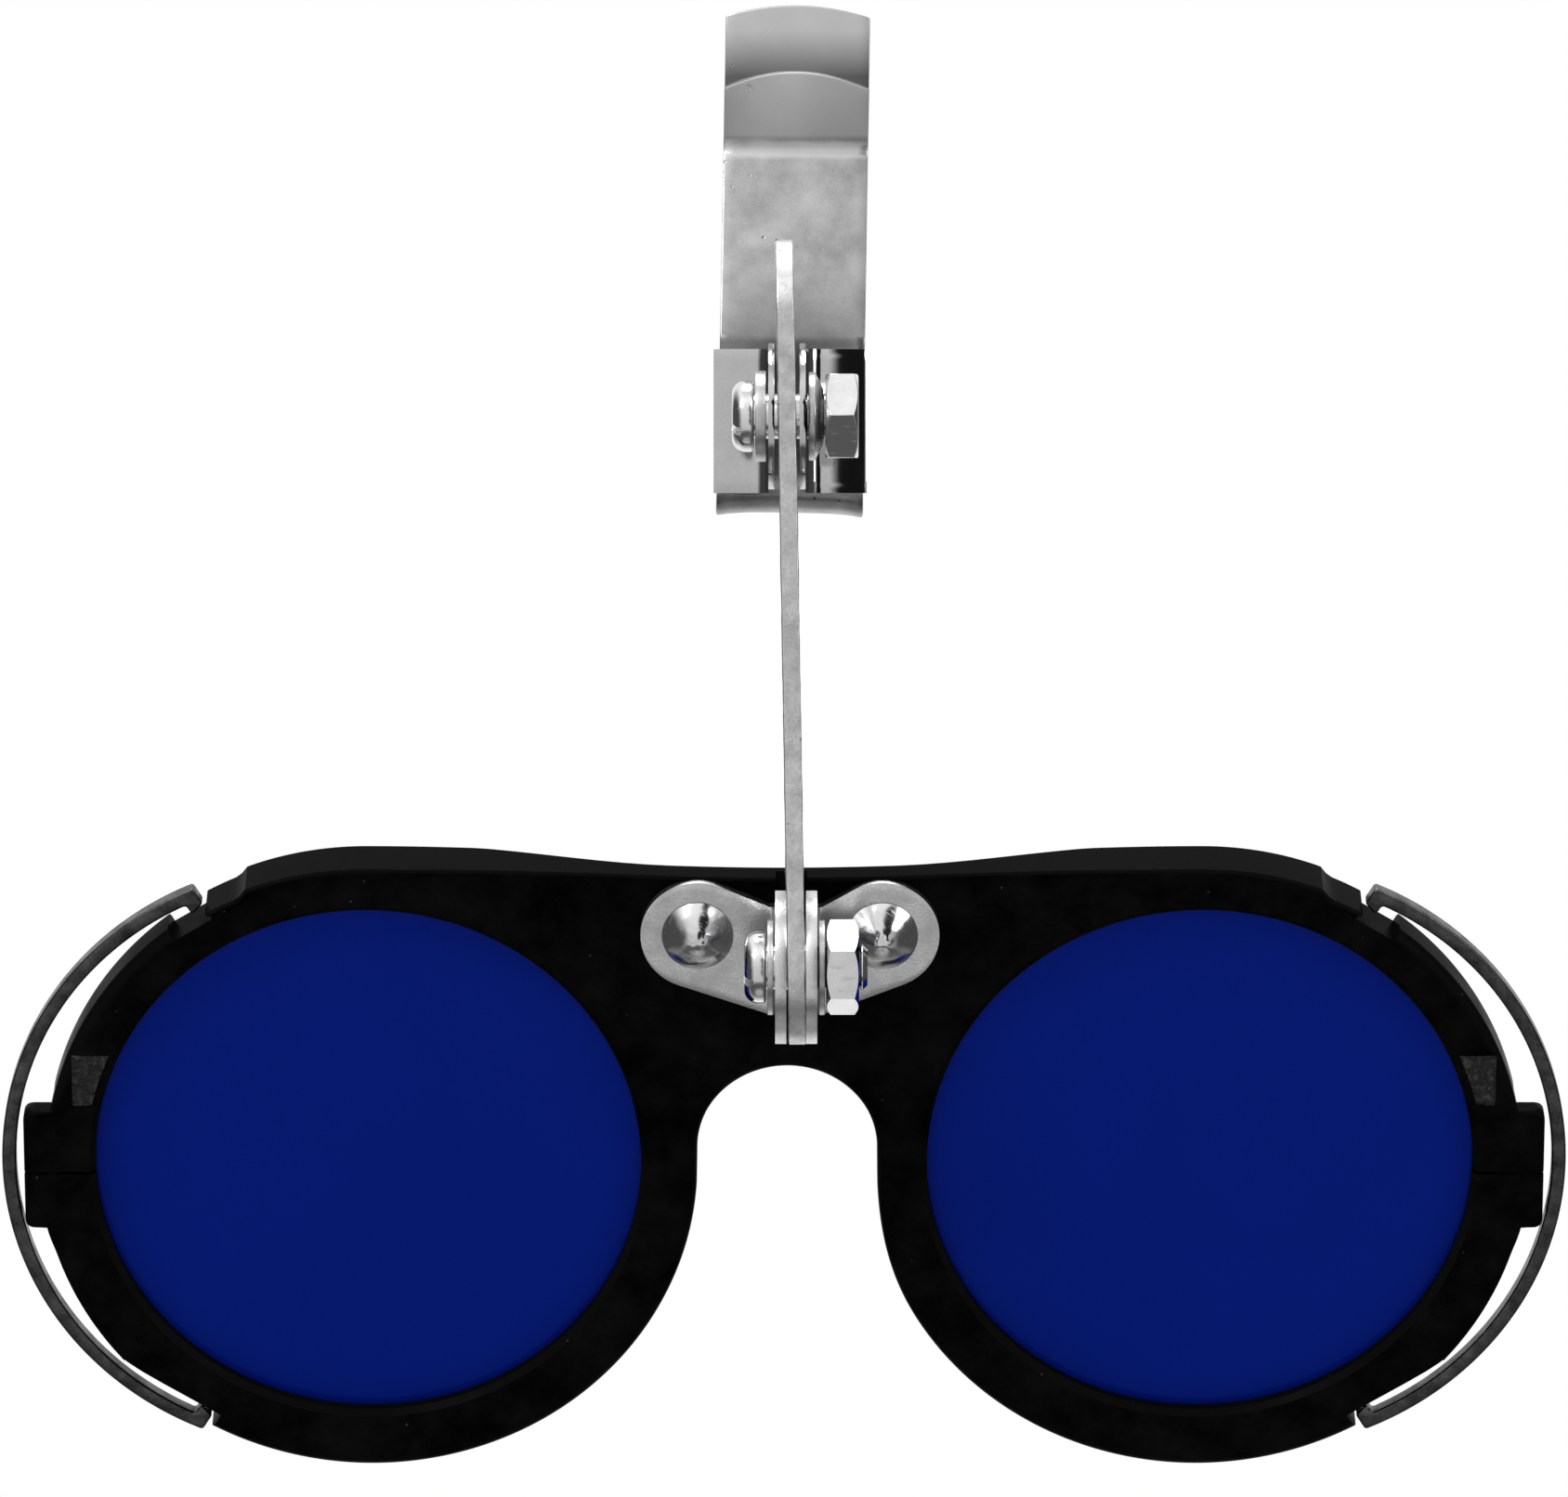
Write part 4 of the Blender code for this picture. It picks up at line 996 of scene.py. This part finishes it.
def lens(side):
    """A flat round glass with ground edges."""
    half = LENS_THICK / 2
    edge_r = 0.3 * MM
    profile = [(0.0, half)] + arc((LENS_R - edge_r, half - edge_r), edge_r, math.pi / 2, 0.0, 4)
    profile += arc((LENS_R - edge_r, edge_r - half), edge_r, 0.0, -math.pi / 2, 4) + [(0.0, -half)]
    piece = lathe("glass_" + side, profile, 128, CARRIER @ Matrix.Translation(LENS_CENTRES[side]) @ FACING)
    return dress(piece, "lens_carrier", "cobalt_glass", ["lens_" + side])


# ---- lower bracket and pivot ----

def tangent_point(centre, radius, point, up):
    """Where the line from point touches the circle on its upper or lower side."""
    run = Vector(centre) - Vector(point)
    swing = math.asin(radius / run.length)
    heading = math.atan2(run.y, run.x) + up * math.copysign(swing, run.x)
    reach = math.sqrt(run.length_squared - radius ** 2)
    return Vector(point) + Vector((math.cos(heading), math.sin(heading))) * reach


def lower_bracket(side, sign):
    """A folded plate: a round lobe on the frame's face, a tapering neck, a round-ended ear beside the arm."""
    ear_x = sign * (LOWER_EAR_GAP + LOWER_SHEET) / 2
    face_y = FRONT - 0.1 * MM - LOWER_SHEET / 2
    lobe_x = RIVET_X[side]
    neck_x = ear_x + sign * LOWER_FOLD
    upper = tangent_point((lobe_x, 0.0), LOBE_R, (neck_x, NECK_TOP), 1)
    lower = tangent_point((lobe_x, 0.0), LOBE_R, (neck_x, NECK_BOTTOM), -1)

    def edge(x, touch, level, up):
        if (x - touch.x) * sign > 0:
            return up * math.sqrt(max(LOBE_R ** 2 - (x - lobe_x) ** 2, 0.0))
        share = (x - touch.x) / (neck_x - touch.x)
        return touch.y + (level - touch.y) * share

    rows = []
    far = lobe_x + sign * LOBE_R
    for i in range(40):
        t = i / 39
        x = far + (neck_x - far) * (0.0008 + 0.9992 * t ** 1.6)
        rows.append((x, face_y, edge(x, lower, NECK_BOTTOM, -1), edge(x, upper, NECK_TOP, 1)))
    rows += fold_rows(ear_x, face_y, LOWER_FOLD, sign, 8, NECK_BOTTOM, NECK_TOP)
    rows.append((ear_x, LOWER_EAR_R * 0.62, -LOWER_EAR_R * 0.96, LOWER_EAR_R * 0.62))
    rows += ear_rows(ear_x, 0.0, LOWER_EAR_R, -26.0, 88.8, 25)
    name = "lower_bracket_" + side
    piece = sheet(name + "_plate", rows, 14, lambda x, y, z: CARRIER @ Vector((x, y, z)))
    thickened(piece, LOWER_SHEET)
    holes = [
        rod_tool("pivot_hole", HOLE_R, 4 * MM, CARRIER @ at(ear_x, 0, 0) @ ALONG_X),
        rod_tool("rivet_hole", RIVET_HOLE_R, 4 * MM,
                 CARRIER @ at(lobe_x, face_y, 0) @ FACING),
    ]
    boolean(piece, holes)
    rounded(piece, 0.16 * MM, 3, 60.0)
    return dress(piece, "lens_carrier", "grain_nickel", [name])


def rivet(side):
    """A domed rivet: its crown is a little flattened and dented, its tail closed over a washer behind."""
    dome_r = 3.0 * MM
    dome_height = 1.7 * MM
    front = FRONT - 0.2 * MM - LOWER_SHEET
    tail_top = front - (FRONT + WEB_THICK) - 0.8 * MM
    profile = []
    for i in range(25):
        t = i / 24
        drop = (math.hypot(t, 0.6) - 0.6) / (math.hypot(1.0, 0.6) - 0.6)
        profile.append((dome_r * t, dome_height * (1 - drop) - 0.02 * MM * math.exp(-(t / 0.15) ** 2)))
    profile += [(1.5 * MM, 0.0), (1.5 * MM, tail_top)]
    # radius and drop in mm
    tail = ((2.4, 0.1), (2.35, 0.5), (2.0, 0.8), (1.4, 0.93), (1.2, 0.8), (0.0, 0.7))
    profile += [(radius * MM, tail_top - drop * MM) for radius, drop in tail]
    place = CARRIER @ at(RIVET_X[side], front, 0.0)
    piece = lathe("domed_rivet_" + side, profile, 72, place @ FACING)
    crown = place @ Vector((0.0, -dome_height, 0.0))
    roughen(piece, 0.07 * MM, 0.45 * MM, lambda co: math.exp(-((co - crown).length / (1.0 * MM)) ** 2))
    roughen(piece, 0.02 * MM, 0.8 * MM)
    dress(piece, "lens_carrier", "bright_steel", ["rivet_" + side])
    place = CARRIER @ at(RIVET_X[side], FRONT + WEB_THICK + 0.7 * MM, 0.0) @ FACING
    outer_r = 3.6 * MM
    thick = 0.6 * MM
    corners = [(RIVET_HOLE_R, thick), (outer_r, thick), (outer_r, 0.0), (RIVET_HOLE_R, 0.0)]
    ring = lathe("rivet_ring_" + side, filleted(corners, 0.12 * MM, steps=3), 64, place, closed=True)
    dress(ring, "lens_carrier", "zinc_plate", ["rivet_washer_" + side])


def lower_pivot():
    """The screw that the frame flips on, with its washers and nut."""
    for side in SIDES:
        node_name = "lower_washer_" + side
        low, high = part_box(node_name)
        place = at(low.x, LOWER_PIVOT.y, LOWER_PIVOT.z) @ ALONG_X
        washer("lower_flat_washer_" + side, LOWER_WASHER_R, "lens_carrier", place, node_name,
               high.x - low.x, 0.08 * MM)
    screw("lower_pan_screw", LOWER_PIVOT, "lens_carrier", "lower_screw")
    hex_nut("lower_hex_nut", LOWER_PIVOT, TILT + LOWER_NUT_TURN, "lens_carrier", "lower_nut")


# ---- bow springs ----

def bow_outline():
    """The bow spring seen along the lens axis, outward at +X, its ends turned in to the notches."""
    hook_r = 28.45 * MM
    hook_depth = 1.0 * MM
    reach = 30.5 * MM
    half = 0.6 * MM
    hook = Vector((hook_r * math.cos(HOOK_ANGLE), hook_r * math.sin(HOOK_ANGLE)))
    rise = reach - hook.x
    radius = (hook.y ** 2 + rise ** 2) / (2 * rise)
    centre_x = reach - radius
    sweep = math.atan2(hook.y, hook.x - centre_x)
    outer_sweep = sweep + half / radius
    inner_sweep = sweep - half / radius
    outer = arc((centre_x, 0.0), radius + half, -outer_sweep, outer_sweep, 96)
    inner = arc((centre_x, 0.0), radius - half, inner_sweep, -inner_sweep, 94)
    inward = Vector((-math.cos(HOOK_ANGLE), -math.sin(HOOK_ANGLE)))
    tip_outer = Vector(outer[-1]) + inward * (hook_depth + half)
    tip_inner = Vector(inner[0]) + inward * hook_depth
    flip = Vector((1.0, -1.0))
    points = outer + [tuple(tip_outer), tuple(tip_inner)]
    points += inner + [tuple(tip_inner * flip), tuple(tip_outer * flip)]
    return filleted(points, 0.35 * MM, corner=30.0, steps=4)


def bow_spring(side, sign):
    """The spring that holds one rim's split closed."""
    outline = [(sign * x, y) for x, y in bow_outline()]
    place = FRAME_PLACE @ at(sign * LENS_X, FRONT + THICK / 2, RIM_Z) @ FACING
    piece = plate("spring_" + side, [outline], 1.5 * MM, 0.2 * MM, place)
    return dress(piece, "bow_" + side, "bow_steel", ["bow_spring_" + side])


# ---- studio ----

CAMERA_DISTANCE = 1.05         # from the pivots
VIEW_WIDTH = 130.85 * MM       # what the picture spans at the pivots
CAMERA_RISE = 18.26 * MM       # above the lower pivot
FLOOR_Z = -0.30


def camera():
    data = bpy.data.cameras.new("camera")
    data.sensor_width = 36.0
    data.lens = data.sensor_width * CAMERA_DISTANCE / VIEW_WIDTH
    data.clip_start = 0.1
    data.clip_end = 100.0
    made = link_object("camera", data)
    made.location = (MID_X + LOWER_PIVOT.x, LOWER_PIVOT.y - CAMERA_DISTANCE, LOWER_PIVOT.z + CAMERA_RISE)
    made.rotation_euler = (math.pi / 2, 0.0, 0.0)
    bpy.context.scene.camera = made


def area_light(name, location, size, power):
    data = bpy.data.lights.new(name, "AREA")
    data.shape = "DISK"
    data.size = size
    data.energy = power
    made = link_object(name, data)
    made.location = location
    aim = Vector((0.0, -0.01, -0.03)) - Vector(location)
    made.rotation_euler = aim.to_track_quat("-Z", "Y").to_euler()


def studio_world():
    """White to the camera; to the surfaces a soft room: bright above and behind, dark cards front and sides."""
    world = bpy.data.worlds.new("studio")
    world.use_nodes = True
    tree = world.node_tree
    tree.nodes.clear()
    direction = tree.nodes.new("ShaderNodeTexCoord").outputs["Generated"]
    parts = node(tree, "ShaderNodeSeparateXYZ", {"Vector": direction})
    level = node(tree, "ShaderNodeValToRGB", {"Fac": remap(tree, parts.outputs["Z"], -1.0, 1.0)})
    # the room's brightness from straight down, 0, to straight up, 1
    stops = ((0.0, 0.45), (0.035, 0.10), (0.10, 0.10), (0.15, 0.60), (0.36, 0.66), (0.5, 0.72), (0.66, 0.82),
             (0.9, 1.1), (0.96, 1.0), (1.0, 0.6))
    ramp = level.color_ramp
    for place, _ in stops[1:-1]:
        ramp.elements.new(place)
    for element, (_, shade) in zip(ramp.elements, stops):
        element.color = (shade, shade, shade, 1.0)

    def card(towards, inner, outer):
        """1 inside a soft-edged cone about a direction."""
        aim = tuple(Vector(towards).normalized())
        facing = node(tree, "ShaderNodeVectorMath", {0: direction, 1: aim}, operation="DOT_PRODUCT")
        near = math.cos(math.radians(inner))
        far = math.cos(math.radians(outer))
        return remap(tree, facing.outputs["Value"], far, near)

    room = level.outputs["Color"]
    room = mix(tree, card((0.0, 1.0, 0.0), 40, 75), room, (0.95, 0.95, 0.95))
    for height in (-0.28, 0.05, 0.38):
        room = mix(tree, card((0.375, -0.927, height), 12, 17), room, (0.01, 0.01, 0.01))
    for side in (-1.0, 1.0):
        room = mix(tree, card((side, 0.05, -0.1), 34, 60), room, (0.07, 0.07, 0.07))
    seen = node(tree, "ShaderNodeLightPath").outputs["Is Camera Ray"]
    colour = mix(tree, seen, room, (1.0, 1.0, 1.0))
    background = node(tree, "ShaderNodeBackground", {"Color": colour, "Strength": 1.0})
    output = tree.nodes.new("ShaderNodeOutputWorld")
    tree.links.new(background.outputs["Background"], output.inputs["Surface"])
    bpy.context.scene.world = world


def floor():
    """A plain pale floor, far enough below that the hanging glasses throw no hard shadow on it."""
    bm = bmesh.new()
    bmesh.ops.create_circle(bm, cap_ends=True, segments=96, radius=3.0)
    made = from_bmesh("floor", bm, at(0.0, 0.0, FLOOR_Z))
    material, tree, shader, coords = blank_material("pale_floor", 0.0)
    tone = mix(tree, noise_of(tree, coords, 0.4, 2.0), (0.90, 0.90, 0.90), (0.93, 0.93, 0.93))
    tree.links.new(tone, shader.inputs["Base Color"])
    shader.inputs["Roughness"].default_value = 0.9
    shader.inputs["Specular IOR Level"].default_value = 0.0
    shader.inputs["Emission Color"].default_value = (1.0, 1.0, 1.0, 1.0)
    shader.inputs["Emission Strength"].default_value = 0.35
    made.data.materials.append(material)
    made.visible_glossy = False


def studio():
    studio_world()
    area_light("key", (-0.55, -0.75, 0.75), 0.45, 6.0)
    area_light("fill", (0.75, -0.65, 0.25), 0.5, 2.0)
    area_light("top", (0.0, 0.25, 0.9), 0.6, 4.0)
    floor()
    bpy.context.scene.view_settings.view_transform = "Standard"


# ---- assembly ----

camera()
studio()
visor_clip()
upper_pivot()
hanging_arm()
moulded_frame()
lower_pivot()
for side_name, side_sign in SIDES.items():
    upper_bracket(side_name, side_sign)
    lower_bracket(side_name, side_sign)
    rivet(side_name)
    grip_pad(side_name, side_sign)
    lens(side_name)
    bow_spring(side_name, side_sign)
